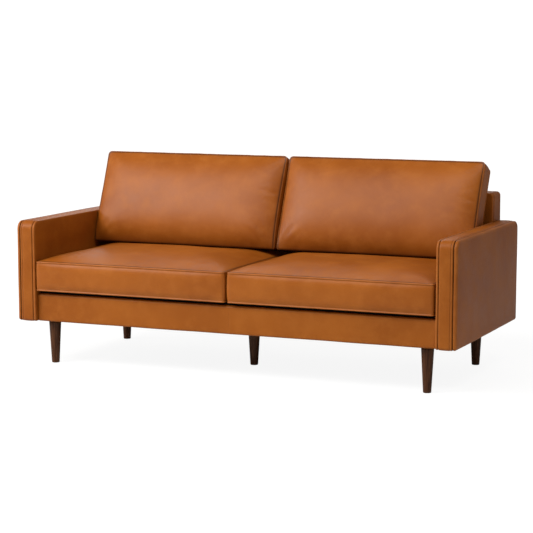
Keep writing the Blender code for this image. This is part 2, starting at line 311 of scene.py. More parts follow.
@dataclass(frozen=True)
class Leather:
    """Aniline-dyed cowhide with a soft wax finish; painted shade darkens its seams and the back
    cushions' lower roll, and its rubbed edges are lighter, partly wear and partly painted highlight.
    """

    name: str
    deep: Colour
    warm: Colour
    pale: Colour
    crease: Colour = (0.030, 0.0080, 0.0018)
    rub_and_highlight: Colour = (0.47, 0.165, 0.045)
    roughness: float = 0.40
    gloss: float = 0.23
    refraction: float = 1.45
    seam_darkness: float = 0.88
    pebbles: float = 640.0

    def material(self) -> bpy.types.Material:
        """The leather as a node material."""
        tree = ShaderTree(self.name)
        place = tree.place()
        drifts = tree.noise(place, 3.1, detail=3.0, rough=0.55, twist=0.3)
        blotches = tree.noise(place, 19.0, detail=5.0, rough=0.62)
        specks = tree.noise(place, 260.0, detail=3.0, rough=0.6)
        pebbles = tree.cells(place, self.pebbles)
        stretched = tree.place((1.0, 1.0, 1.9))
        wrinkles = tree.noise(stretched, 62.0, detail=5.0, rough=0.58, twist=0.5)
        hide = tree.noise(place, 8.5, detail=3.0, rough=0.5)
        colour = tree.mix(tree.spread(drifts, 0.34, 0.66), self.deep, self.warm)
        colour = tree.mix(tree.spread(blotches, 0.45, 0.78, 0.0, 0.55), colour, self.pale)
        colour = tree.mix(tree.spread(specks, 0.52, 0.80, 0.0, 0.30), colour, self.deep)
        grooves = tree.spread(pebbles, 0.0, 0.10, 0.30, 0.0)
        colour = tree.mix(grooves, colour, self.crease)
        # Lighter along rolled edges and welts: partly rubbed leather, partly a painted highlight where
        # the edges catch the light.
        rub_and_highlight_share = tree.times(tree.mark("wear_and_highlight"), tree.spread(blotches, 0.25, 0.75, 0.10, 0.45))
        colour = tree.mix(rub_and_highlight_share, colour, self.rub_and_highlight)
        # Painted shade: the seam shade mark darkens the seam grooves and the back cushions' lower roll
        # towards the crease colour.
        colour = tree.mix(tree.times(tree.mark("seam"), self.seam_darkness), colour, self.crease)
        rough = tree.spread(blotches, 0.2, 0.8, self.roughness - 0.05, self.roughness + 0.08)
        tree.set(Base_Color=colour, Roughness=rough, IOR=self.refraction,
                 Specular_IOR_Level=self.gloss)
        tree.bump((hide, 0.0016, 0.55), (wrinkles, 0.00030, 0.50),
                  (tree.spread(pebbles, 0.0, 0.22), 0.00010, 0.55), (specks, 0.00006, 0.5))
        return tree.material


@dataclass(frozen=True)
class Walnut:
    """Dark stained walnut under satin lacquer, its grain along Z."""

    name: str = "walnut_satin"
    dark: Colour = (0.036, 0.0120, 0.0045)
    light: Colour = (0.130, 0.050, 0.0200)
    roughness: float = 0.36
    gloss: float = 0.13

    def material(self) -> bpy.types.Material:
        """The walnut as a node material."""
        tree = ShaderTree(self.name)
        figure = tree.noise(tree.place((1.0, 1.0, 0.07)), 95.0, detail=5.0, rough=0.6, twist=0.9)
        pores = tree.noise(tree.place((1.0, 1.0, 0.035)), 900.0, detail=2.0, rough=0.5)
        bands = tree.wave(tree.place((1.0, 0.55, 0.045)), 42.0, "X", twist=5.0)
        colour = tree.mix(tree.spread(figure, 0.32, 0.70), self.dark, self.light)
        colour = tree.mix(tree.spread(bands, 0.35, 1.0, 0.0, 0.45), colour, self.dark)
        colour = tree.mix(tree.spread(pores, 0.56, 0.70, 0.0, 0.6), colour, self.dark)
        colour = tree.mix(tree.times(tree.mark("wear_and_highlight"), 0.35), colour, self.light)
        rough = tree.spread(figure, 0.2, 0.8, self.roughness - 0.05, self.roughness + 0.07)
        tree.set(Base_Color=colour, Roughness=rough, Specular_IOR_Level=self.gloss)
        tree.bump((pores, 0.00010, 0.5), (figure, 0.00018, 0.35))
        return tree.material


@dataclass(frozen=True)
class SawnTimber:
    """Pale sawn softwood of the hidden frame, with saw marks."""

    name: str = "sawn_timber"
    pale: Colour = (0.58, 0.41, 0.25)
    dark: Colour = (0.40, 0.25, 0.13)

    def material(self) -> bpy.types.Material:
        """The timber as a node material."""
        tree = ShaderTree(self.name)
        grain = tree.noise(tree.place((0.10, 1.0, 1.0)), 70.0, detail=4.0, rough=0.6, twist=0.6)
        saw = tree.wave(tree.place(), 95.0, "DIAGONAL", twist=1.5)
        fuzz = tree.noise(tree.place(), 420.0, detail=2.0)
        colour = tree.mix(tree.spread(grain, 0.3, 0.72), self.pale, self.dark)
        tree.set(Base_Color=colour, Roughness=tree.spread(fuzz, 0.2, 0.8, 0.70, 0.86))
        tree.bump((saw, 0.00020, 0.4), (fuzz, 0.00015, 0.5))
        return tree.material


@dataclass(frozen=True)
class LiningCloth:
    """Black woven lining cloth of the seat deck and the underside."""

    name: str = "black_lining"
    dark: Colour = (0.0060, 0.0050, 0.0042)
    light: Colour = (0.0170, 0.0150, 0.0130)
    threads: float = 260.0
    gloss: float = 0.12

    def material(self) -> bpy.types.Material:
        """The cloth as a node material."""
        tree = ShaderTree(self.name)
        warp = tree.wave(tree.place(), self.threads, "X", twist=0.4)
        weft = tree.wave(tree.place(), self.threads, "Y", twist=0.4)
        lint = tree.noise(tree.place(), 60.0, detail=4.0, rough=0.6)
        weave = tree.times(warp, weft)
        colour = tree.mix(weave, self.dark, self.light)
        colour = tree.mix(tree.spread(lint, 0.55, 0.85, 0.0, 0.5), colour, self.light)
        tree.set(Base_Color=colour, Roughness=tree.spread(lint, 0.2, 0.8, 0.88, 0.97),
                 Specular_IOR_Level=self.gloss)
        tree.bump((weave, 0.00025, 0.6))
        return tree.material


@dataclass(frozen=True)
class BrushedSteel:
    """Plain drawn or rolled steel with fine scratches."""

    name: str = "plain_steel"
    bright: Colour = (0.56, 0.56, 0.57)
    dull: Colour = (0.34, 0.34, 0.35)
    roughness: float = 0.36

    def material(self) -> bpy.types.Material:
        """The steel as a node material."""
        tree = ShaderTree(self.name)
        scratches = tree.noise(tree.place((1.0, 0.06, 1.0)), 700.0, detail=3.0)
        stains = tree.noise(tree.place(), 30.0, detail=4.0, rough=0.6)
        colour = tree.mix(tree.spread(stains, 0.35, 0.7), self.bright, self.dull)
        rough = tree.spread(scratches, 0.2, 0.8, self.roughness - 0.08, self.roughness + 0.12)
        tree.set(Base_Color=colour, Metallic=1.0, Roughness=rough)
        tree.bump((scratches, 0.00005, 0.4))
        return tree.material


class Finishes:
    """Every material of the sofa, made once."""

    def __init__(self) -> None:
        """Makes the materials."""
        # The frame's leather is a slightly darker copy of the cushions' leather: painted shade for the
        # rail and strips.
        frame_leather = Leather("cognac_leather_frame", deep=(0.262, 0.066, 0.0050),
                                warm=(0.338, 0.094, 0.0088), pale=(0.395, 0.122, 0.016),
                                gloss=0.17)
        cushion_leather = Leather("cognac_leather_cushions", deep=(0.278, 0.070, 0.0050),
                                  warm=(0.358, 0.099, 0.0090), pale=(0.415, 0.128, 0.017),
                                  roughness=0.37)
        self.by_slot: dict[Slot, bpy.types.Material] = {
            Slot.FRAME_LEATHER: frame_leather.material(),
            Slot.CUSHION_LEATHER: cushion_leather.material(),
            Slot.TIMBER: SawnTimber().material(),
            Slot.WALNUT: Walnut().material(),
            Slot.BLACK_CLOTH: LiningCloth().material(),
            Slot.STEEL: BrushedSteel().material(),
        }

    def __getitem__(self, slot: Slot) -> bpy.types.Material:
        """The material of a slot."""
        return self.by_slot[slot]


# ------------------------------------------------------------------------------------------------ meshes


@dataclass
class Form:
    """A closed mesh in the making, with the marks that the leather reads."""

    points: Array
    faces: list[tuple[int, ...]]
    seam: Array
    wear_and_highlight: Array

    def make(self, name: str, material: bpy.types.Material) -> bpy.types.Object:
        """Makes the object and smooths it.

        Args:
            name: The piece's name.
            material: Its finish.

        Returns:
            The object, which still rides on nothing.
        """
        mesh = bpy.data.meshes.new(name)
        mesh.from_pydata(self.points.tolist(), [], self.faces)
        builder = bmesh.new()
        builder.from_mesh(mesh)
        bmesh.ops.recalc_face_normals(builder, faces=builder.faces)
        builder.to_mesh(mesh)
        builder.free()
        mesh.shade_smooth()
        for mark in ("seam", "wear_and_highlight"):
            values = np.clip(getattr(self, mark), 0.0, 1.0).astype(np.float32)
            mesh.attributes.new(mark, "FLOAT", "POINT").data.foreach_set("value", values)
        mesh.materials.append(material)
        piece = bpy.data.objects.new(name, mesh)
        bpy.context.scene.collection.objects.link(piece)
        return piece


def points_of(piece: bpy.types.Object) -> Array:
    """The mesh's points as rows of three."""
    values = np.empty(len(piece.data.vertices) * 3)
    piece.data.vertices.foreach_get("co", values)
    return values.reshape(-1, 3)


def normals_of(piece: bpy.types.Object) -> Array:
    """The mesh's normals at its points as rows of three."""
    values = np.empty(len(piece.data.vertices) * 3, np.float32)
    piece.data.vertex_normals.foreach_get("vector", values)
    return values.reshape(-1, 3).astype(float)


def move_points(piece: bpy.types.Object, points: Array) -> None:
    """Puts the mesh's points in new places.

    Args:
        piece: The piece.
        points: Rows of three.
    """
    piece.data.vertices.foreach_set("co", points.astype(np.float32).ravel())
    piece.data.update()


def subdivide(piece: bpy.types.Object) -> None:
    """Subdivides the piece's faces once."""
    modifier = piece.modifiers.new("smooth", "SUBSURF")
    modifier.levels = 1
    modifier.render_levels = 1


def eased(values: Array, piece: bpy.types.Object, rounds: int) -> Array:
    """Averages a value per point with its neighbours'.

    Args:
        values: One row per point.
        piece: The piece that has the points.
        rounds: How often.

    Returns:
        The smoothed rows.
    """
    ends = np.empty(len(piece.data.edges) * 2, np.int32)
    piece.data.edges.foreach_get("vertices", ends)
    first, second = ends.reshape(-1, 2).T
    count = np.bincount(ends, minlength=len(values))[:, None]
    for _ in range(rounds):
        total = np.zeros_like(values)
        np.add.at(total, first, values[second])
        np.add.at(total, second, values[first])
        values = 0.5 * values + 0.5 * total / count
    return values


def clouds(points: Array, scale: Point, seed: float) -> Array:
    """Smooth noise at each point, from about -1 to 1.

    Args:
        points: Rows of three, in metres.
        scale: Features per metre along each axis.
        seed: Which noise.

    Returns:
        One value per point.
    """
    shift = Vector((seed * 7.31, seed * 3.17, seed * 5.53))
    rows = (points * np.array(scale)).tolist()
    return np.array([noise.noise(Vector(row) + shift) for row in rows])


def soft_min(first: Array, second: Array, width: float) -> Array:
    """The smaller of two values, with the corner between them rounded over `width`."""
    share = np.clip(0.5 + 0.5 * (second - first) / width, 0.0, 1.0)
    return second + (first - second) * share - width * share * (1.0 - share)


def soft_max(first: Array, second: Array, width: float) -> Array:
    """The larger of two values, with the corner between them rounded over `width`."""
    return -soft_min(-first, -second, width)


@dataclass(frozen=True)
class RimRow:
    """One row of points round a padded form's border, from its face to its back."""

    outset: float
    level: float
    seam: float = 0.0
    wear_and_highlight: float = 0.0
    bulge: float = 0.0


@dataclass
class PaddedShape:
    """The points of a padded form before they are put in place."""

    a: Array
    b: Array
    c: Array
    inset: Array
    region: Array
    out_b: Array
    seam: Array
    wear_and_highlight: Array
    faces: list[tuple[int, ...]]

    def form(self, place: Place) -> Form:
        """Puts the points in place.

        Args:
            place: Turns a, b and c into rows of X, Y and Z.

        Returns:
            The mesh in the making.
        """
        return Form(place(self.a, self.b, self.c), self.faces, self.seam, self.wear_and_highlight)


@dataclass
class PaddedForm:
    """A closed padded form over a rounded rectangle: a face, a rim in rows and a back.

    a runs across it, b up it and c out of its face. The grid is dense beside the rim.
    """

    half_a: float
    half_b: float
    radii: tuple[float, float, float, float]
    rim: Sequence[RimRow]
    step: float = 0.018
    edge: Sequence[float] = (0.0, 0.0016, 0.0042, 0.0085, 0.0145, 0.0225)

    def _marks(self, half: float, outset: float) -> Array:
        """Grid positions over half + outset on both sides of 0, dense at both ends."""
        count = max(3, round(2.0 * (half - self.edge[-1]) / self.step) + 1)
        half = half + outset
        inner = half - self.edge[-1]
        middle = np.linspace(-inner, inner, count)
        dense = np.array(self.edge[:-1])
        return np.concatenate([-half + dense, middle, (half - dense)[::-1]])

    def _corner_radii(self, a: Array, b: Array, outset: float) -> Array:
        """The radius of the corner nearest to each point."""
        low_left, low_right, high_right, high_left = (max(r + outset, 0.0012) for r in self.radii)
        low = np.where(a < 0, low_left, low_right)
        high = np.where(a < 0, high_left, high_right)
        return np.where(b < 0, low, high)

    def _round(self, a: Array, b: Array, outset: float) -> tuple[Array, Array]:
        """Bends a square grid's corners to arcs.

        Args:
            a: Positions across.
            b: Positions up.
            outset: How far outside the nominal outline the grid ends.

        Returns:
            The new a and b.
        """
        radius = self._corner_radii(a, b, outset)
        inner_a = self.half_a + outset - radius
        inner_b = self.half_b + outset - radius
        x = (np.abs(a) - inner_a) / radius
        y = (np.abs(b) - inner_b) / radius
        zone = (x > 0) & (y > 0)
        x, y = np.where(zone, x, 0.0), np.where(zone, y, 0.0)
        new_a = np.sign(a) * (inner_a + radius * x * np.sqrt(1.0 - y * y / 2.0))
        new_b = np.sign(b) * (inner_b + radius * y * np.sqrt(1.0 - x * x / 2.0))
        return np.where(zone, new_a, a), np.where(zone, new_b, b)

    def _inset(self, a: Array, b: Array, outset: float) -> tuple[Array, Array, Array]:
        """Distance inside the outline, and the direction straight out of it.

        Args:
            a: Positions across.
            b: Positions up.
            outset: How far outside the nominal outline the outline is.

        Returns:
            The distance, and the direction's a and b.
        """
        radius = self._corner_radii(a, b, outset)
        qa = np.abs(a) - (self.half_a + outset - radius)
        qb = np.abs(b) - (self.half_b + outset - radius)
        beyond = np.hypot(np.maximum(qa, 0.0), np.maximum(qb, 0.0))
        distance = radius - beyond - np.minimum(np.maximum(qa, qb), 0.0)
        corner = (qa > 0) & (qb > 0)
        length = np.maximum(beyond, 1e-9)
        out_a = np.where(corner, qa / length, (qa >= qb).astype(float)) * np.sign(a)
        out_b = np.where(corner, qb / length, (qb > qa).astype(float)) * np.sign(b)
        return distance, out_a, out_b

    def build(self, crown: Rise, hollow: Rise, give: Give | None = None) -> PaddedShape:
        """Makes the points and faces.

        Args:
            crown: How far the face rises at a, b and the distance from its edge.
            hollow: The same for the back, outwards.
            give: How much of each rim row's bulge there is, by the place and the direction out.

        Returns:
            The shape.
        """
        first, last = self.rim[0], self.rim[-1]
        sheets = []
        for row, rise, sign in ((first, crown, 1.0), (last, hollow, -1.0)):
            marks_a = self._marks(self.half_a, row.outset)
            marks_b = self._marks(self.half_b, row.outset)
            grid_a, grid_b = np.meshgrid(marks_a, marks_b, indexing="ij")
            a, b = self._round(grid_a.ravel(), grid_b.ravel(), row.outset)
            distance, _, _ = self._inset(a, b, row.outset)
            c = row.level + sign * rise(a, b, np.maximum(distance, 0.0))
            sheets.append((a, b, c, np.maximum(distance, 0.0)))
        count_a, count_b = grid_a.shape
        loop = self._loop(count_a, count_b)
        face_a, face_b = sheets[0][0][loop], sheets[0][1][loop]
        _, out_a, out_b = self._inset(face_a, face_b, first.outset)
        weight = np.ones(len(loop)) if give is None else give(face_a, face_b, out_a, out_b)
        blocks = [self._sheet_block(sheets[0], Region.FACE, first)]
        ones = np.ones(len(loop))
        for row in self.rim[1:-1]:
            reach = row.outset - first.outset + row.bulge * weight
            blocks.append((face_a + out_a * reach, face_b + out_b * reach, ones * row.level,
                           -ones * row.outset, np.full(len(loop), Region.RIM.value), out_b,
                           ones * row.seam, ones * row.wear_and_highlight))
        blocks.append(self._sheet_block(sheets[1], Region.BACK, last))
        columns = [np.concatenate(column) for column in zip(*blocks, strict=True)]
        return PaddedShape(*columns, self._faces(count_a, count_b, loop))

    def _sheet_block(self, sheet: Sequence[Array], region: Region, row: RimRow) -> Sequence[Array]:
        """Everything that is known of a sheet's points, in the order of the shape's fields.

        Args:
            sheet: The points' a, b, c and distance from the edge.
            region: Which sheet it is.
            row: The rim row at its edge.

        Returns:
            One array for each field.
        """
        a, b, c, distance = sheet
        return (a, b, c, distance, np.full(len(a), region.value), np.zeros(len(a)),
                self._fade(distance, row.seam), self._fade(distance, row.wear_and_highlight))

    def _faces(self, count_a: int, count_b: int, loop: Array) -> list[tuple[int, ...]]:
        """The faces of both sheets and of the rim between them.

        Args:
            count_a: The sheets' points across.
            count_b: The sheets' points up.
            loop: The border's indices in a sheet.

        Returns:
            Each face's point indices.
        """
        inner_rows = len(self.rim) - 2
        size = count_a * count_b
        back_start = size + len(loop) * inner_rows
        rows = [loop]
        rows += [size + np.arange(len(loop)) + k * len(loop) for k in range(inner_rows)]
        rows.append(back_start + loop)
        faces: list[tuple[int, ...]] = []
        for i in range(count_a - 1):
            for j in range(count_b - 1):
                corners = (i * count_b + j, (i + 1) * count_b + j,
                           (i + 1) * count_b + j + 1, i * count_b + j + 1)
                faces.append(corners)
                faces.append(tuple(back_start + index for index in reversed(corners)))
        for upper, lower in zip(rows[:-1], rows[1:], strict=True):
            for k in range(len(loop)):
                n = (k + 1) % len(loop)
                faces.append((int(lower[k]), int(lower[n]), int(upper[n]), int(upper[k])))
        return faces

    @staticmethod
    def _fade(distance: Array, amount: float) -> Array:
        """A mark that is full at the edge and gone three seam widths in."""
        return amount * np.exp(-((distance / SEAM_WIDTH) ** 2) * 0.5)

    @staticmethod
    def _loop(count_a: int, count_b: int) -> Array:
        """The grid's border indices, once round."""
        low = [i * count_b for i in range(count_a)]
        right = [(count_a - 1) * count_b + j for j in range(1, count_b)]
        high = [i * count_b + count_b - 1 for i in range(count_a - 2, -1, -1)]
        left = list(range(count_b - 2, 0, -1))
        return np.array(low + right + high + left)


def puffed(height: float, reach: float) -> Rise:
    """A face that rises from its edge and levels off.

    Args:
        height: The rise far from the edge.
        reach: How far in most of the rise is done.

    Returns:
        The rise at a, b and the distance from the edge.
    """
    return lambda a, b, d: height * (1.0 - np.exp(-d / reach))


def flat(a: Array, b: Array, d: Array) -> Array:
    """A face that doesn't rise."""
    return np.zeros_like(d)


def turned(heading: Array, angle: float) -> Array:
    """A direction in the plane, turned to the left by an angle."""
    sine, cosine = math.sin(angle), math.cos(angle)
    return np.array((heading[0] * cosine - heading[1] * sine,
                     heading[0] * sine + heading[1] * cosine))


@dataclass(frozen=True)
class BandRow:
    """One line along a band, at a place across it."""

    across: float
    rise: float = 0.0
    seam: float = 0.0
    wear_and_highlight: float = 0.0


@dataclass
class Band:
    """A strip of padded leather along a path. Each corner has two coordinates and a radius."""

    corners: Sequence[tuple[float, float, float]]
    rows: Sequence[BandRow]
    thick: float
    step: float = 0.016
    arc_step: float = math.radians(7.5)

    def path(self) -> tuple[Array, Array]:
        """The path's points and the directions out of it, which are on its left."""
        points: list[Array] = []
        outs: list[Array] = []
        stops = [np.array(corner[:2]) for corner in self.corners]
        start = stops[0]
        for index in range(1, len(stops)):
            heading = stops[index] - stops[index - 1]
            heading = heading / np.linalg.norm(heading)
            left = np.array((-heading[1], heading[0]))
            end, radius, turn = stops[index], self.corners[index][2], 0.0
            if index < len(stops) - 1:
                following = stops[index + 1] - stops[index]
                following = following / np.linalg.norm(following)
                cross = heading[0] * following[1] - heading[1] * following[0]
                turn = math.atan2(cross, float(heading @ following))
                end = stops[index] - heading * radius * math.tan(abs(turn) / 2.0)
            count = max(1, round(float(np.linalg.norm(end - start)) / self.step))
            for k in range(count + (index == len(stops) - 1)):
                points.append(start + (end - start) * k / count)
                outs.append(left)
            start = end
            if turn:
                arm = radius if turn < 0 else -radius
                centre = end - left * arm
                steps = max(2, round(abs(turn) / self.arc_step))
                for k in range(steps):
                    outs.append(turned(left, turn * k / steps))
                    points.append(centre + outs[-1] * arm)
                start = centre + turned(left, turn) * arm
        return np.array(points), np.array(outs)

    def form(self, place: Place, swell: Callable[[Array, Array], Array] | None = None) -> Form:
        """Sweeps the band.

        Args:
            place: Turns the position across and the path's two coordinates into rows of X, Y and Z.
            swell: More rise, by the position across and the share of the path.

        Returns:
            The closed mesh in the making.
        """
        path, outs = self.path()
        across = np.array([row.across for row in self.rows] + [self.rows[-1].across,
                                                              self.rows[0].across])
        rise = np.array([row.rise for row in self.rows] + [-self.thick, -self.thick])
        seam = np.array([row.seam for row in self.rows] + [0.0, 0.0])
        wear_and_highlight = np.array([row.wear_and_highlight for row in self.rows] + [0.0, 0.0])
        ring, length = len(across), len(path)
        share = np.repeat(np.linspace(0.0, 1.0, length), ring)
        along = np.tile(across, length)
        lift = np.tile(rise, length)
        if swell is not None:
            top = np.tile(np.arange(ring) < len(self.rows), length)
            lift = lift + np.where(top, swell(along, share), 0.0)
        spots = np.repeat(path, ring, axis=0) + np.repeat(outs, ring, axis=0) * lift[:, None]
        faces: list[tuple[int, ...]] = []
        for i in range(length - 1):
            for k in range(ring):
                n = (k + 1) % ring
                faces.append((i * ring + k, i * ring + n, (i + 1) * ring + n, (i + 1) * ring + k))
        faces.append(tuple(reversed(range(ring))))
        faces.append(tuple((length - 1) * ring + k for k in range(ring)))
        return Form(place(along, spots[:, 0], spots[:, 1]), faces, np.tile(seam, length),
                    np.tile(wear_and_highlight, length))


def rolled_rows(low: float, high: float, crown: float, seams: Sequence[float] = (),
                step: float = 0.012) -> list[BandRow]:
    """Rows across a band: its edges rolled down into seams, with more seams between them.

    Args:
        low: Where it starts.
        high: Where it ends.
        crown: The rise at the middle.
        seams: Where the seams between the edges are.
        step: The distance between plain rows.

    Returns:
        The rows from low to high.
    """
    # Each row beside a seam: its distance, how far it drops, its painted seam shade and its wear and
    # highlight mark (partly rubbed leather, partly painted highlight on the roll).
    near = ((0.0, 0.0026, 0.80, 0.0), (0.0010, 0.0012, 0.30, 0.1), (0.0024, 0.0003, 0.0, 0.5),
            (0.0046, 0.0, 0.0, 0.2))
    least_gap = 0.0062
    rows = [BandRow(low + off, -drop, seam, wear_and_highlight) for off, drop, seam, wear_and_highlight in near]
    rows += [BandRow(high - off, -drop, seam, wear_and_highlight) for off, drop, seam, wear_and_highlight in near]
    for spot in seams:
        for off, drop, seam, wear_and_highlight in near:
            rows.append(BandRow(spot + off, -0.5 * drop, 0.7 * seam, 0.5 * wear_and_highlight))
            if off:
                rows.append(BandRow(spot - off, -0.5 * drop, 0.7 * seam, 0.5 * wear_and_highlight))
    taken = np.array([low, high, *seams])
    for spot in np.linspace(low, high, max(3, round((high - low) / step) + 1)):
        if np.abs(taken - spot).min() > least_gap:
            rows.append(BandRow(float(spot)))
    middle, half = (low + high) / 2.0, (high - low) / 2.0
    rows.sort(key=lambda row: row.across)
    return [BandRow(row.across, row.rise + crown * (1.0 - ((row.across - middle) / half) ** 2),
                    row.seam, row.wear_and_highlight) for row in rows]


def ripple(piece: bpy.types.Object, depth: float, scale: Point, seed: float) -> None:
    """Makes a surface gently uneven, as leather over padding is.

    Args:
        piece: The piece.
        depth: The most that a point moves.
        scale: Features per metre along each axis.
        seed: Which noise.
    """
    points = points_of(piece)
    amount = depth * clouds(points, scale, seed)
    move_points(piece, points + normals_of(piece) * amount[:, None])


def join_sofa(piece: bpy.types.Object, body: str, slot: Slot, stands_for: Sequence[str],
              fill: float | None) -> None:
    """Fastens a finished piece to the frame and reports it.

    Args:
        piece: The piece, in place.
        body: The body that it rides on.
        slot: The record's slot of its finish; not used.
        stands_for: The frame's nodes that it replaces.
        fill: How full it is, or None where it isn't padded; not used.
    """
    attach(piece, body)
    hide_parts(*stands_for)
    log.info("%s: %d points on %s", piece.name, len(piece.data.vertices), body)


def join_frame(piece: bpy.types.Object, *stands_for: str) -> None:
    """Fastens a padded cover to the fixed frame.

    Args:
        piece: The cover, in place.
        *stands_for: The frame's nodes that it replaces.
    """
    join_sofa(piece, FRAME_BODY, Slot.FRAME_LEATHER, stands_for, FRAME_FILL)


# ---------------------------------------------------------------------------------------------- cushions


@dataclass(frozen=True)
class Filling:
    """Foam and fibre that blow a sewn cover up from inside, as a pressurised cloth."""

    pressure: float = 4.0
    last_frame: int = 20
    stretch: float = 15.0
    bend: float = 0.6
    mass: float = 0.3
    quality: int = 5
    most: float = 0.026
    easing: int = 3

    def blow(self, piece: bpy.types.Object, held: Array, give: Array) -> None:
        """Simulates the cover and keeps the result in its mesh.

        Args:
            piece: The cover, sewn to size.
            held: How firmly each point is held, from 0 to 1.
            give: How much of its simulated travel each point keeps.
        """
        start = points_of(piece)
        group = piece.vertex_groups.new(name="held")
        for level in np.unique(held[held > 0]):
            members = np.nonzero(held == level)[0].tolist()
            group.add(members, float(level), "REPLACE")
        cloth = self._add_cloth(piece, group.name)
        scene = bpy.context.scene
        for number in range(1, self.last_frame + 1):
            scene.frame_set(number)
        blown = piece.evaluated_get(bpy.context.evaluated_depsgraph_get())
        values = np.empty(len(blown.data.vertices) * 3)
        blown.data.vertices.foreach_get("co", values)
        travel = values.reshape(-1, 3) - start
        piece.modifiers.remove(cloth)
        piece.vertex_groups.remove(group)
        scene.frame_set(1)
        length = np.linalg.norm(travel, axis=1, keepdims=True)
        log.info("%s: cover moved up to %.1f mm, %.1f mm on average", piece.name,
                 1000 * length.max(), 1000 * length.mean())
        kept = self.most * np.tanh(length / self.most) / np.maximum(length, 1e-9)
        travel = travel * kept * give[:, None]
        move_points(piece, start + eased(travel, piece, self.easing))

    def _add_cloth(self, piece: bpy.types.Object, group: str) -> bpy.types.Modifier:
        """Sets up the simulation.

        Args:
            piece: The cover.
            group: The vertex group that holds it.

        Returns:
            The cloth modifier.
        """
        cloth = piece.modifiers.new("filling", "CLOTH")
        rules = cloth.settings
        rules.quality = self.quality
        rules.mass = self.mass
        rules.tension_stiffness = self.stretch
        rules.compression_stiffness = self.stretch
        rules.shear_stiffness = self.stretch / 3.0
        rules.bending_stiffness = self.bend
        rules.use_pressure = True
        rules.uniform_pressure_force = self.pressure
        rules.vertex_group_mass = group
        rules.pin_stiffness = 1.0
        rules.effector_weights.gravity = 0.0
        cloth.collision_settings.use_collision = False
        cloth.collision_settings.use_self_collision = False
        cloth.point_cache.frame_start = 1
        cloth.point_cache.frame_end = self.last_frame
        return cloth


@dataclass(frozen=True)
class Crease:
    """A shallow fold in a cushion's face, between two places on it."""

    start: tuple[float, float]
    end: tuple[float, float]
    depth: float
    width: float

    def depth_at(self, a: Array, b: Array) -> Array:
        """How deep the fold is at each place.

        Args:
            a: Positions across.
            b: Positions up.

        Returns:
            The depth there.
        """
        line = np.array(self.end) - np.array(self.start)
        length = float(np.linalg.norm(line))
        line = line / length
        along = ((a - self.start[0]) * line[0] + (b - self.start[1]) * line[1]) / length
        aside = (a - self.start[0]) * -line[1] + (b - self.start[1]) * line[0]
        taper = np.sin(math.pi * np.clip(along, 0.0, 1.0)) * ((along > 0) & (along < 1))
        ridge = np.exp(-((aside / self.width) ** 2)) - 0.45 * np.exp(
            -(((np.abs(aside) - 1.9 * self.width) / self.width) ** 2))
        return self.depth * taper * ridge


def piped_rim(half: float, bulge: float, reach: float) -> list[RimRow]:
    """The rim of a box cushion: a sewn-in welt at each panel and a soft boxing between them.

    Args:
        half: Half the height of the boxing.
        bulge: How far its middle swells.
        reach: How far the welts stand off the outline.

    Returns:
        The rows from the face to the back.
    """
    # Each row of the upper welt: its outset, its level from the panel, its painted seam shade and its
    # wear and highlight mark (partly rubbed leather, partly painted highlight on the welt).
    top = ((-0.0030, -0.0006, 1.0, 0.0), (-0.0010, 0.0008, 0.30, 0.3), (reach, -0.0010, 0.0, 0.9),
           (reach + 0.0006, -0.0030, 0.0, 0.7), (reach * 0.5, -0.0050, 0.10, 0.4),
           (-0.0002, -0.0064, 0.22, 0.1), (0.0004, -0.0084, 0.0, 0.3))
    rows = [RimRow(out, half + level, seam, wear_and_highlight) for out, level, seam, wear_and_highlight in top]
    edge = half + top[-1][1]
    for share in (0.86, 0.66, 0.42, 0.16, -0.16, -0.42, -0.66, -0.86):
        rows.append(RimRow(0.0012, edge * share, 0.0, 0.0, bulge * (1.0 - share ** 4)))
    rows += [RimRow(out, -half - level, seam, wear_and_highlight) for out, level, seam, wear_and_highlight in reversed(top)]
    return rows


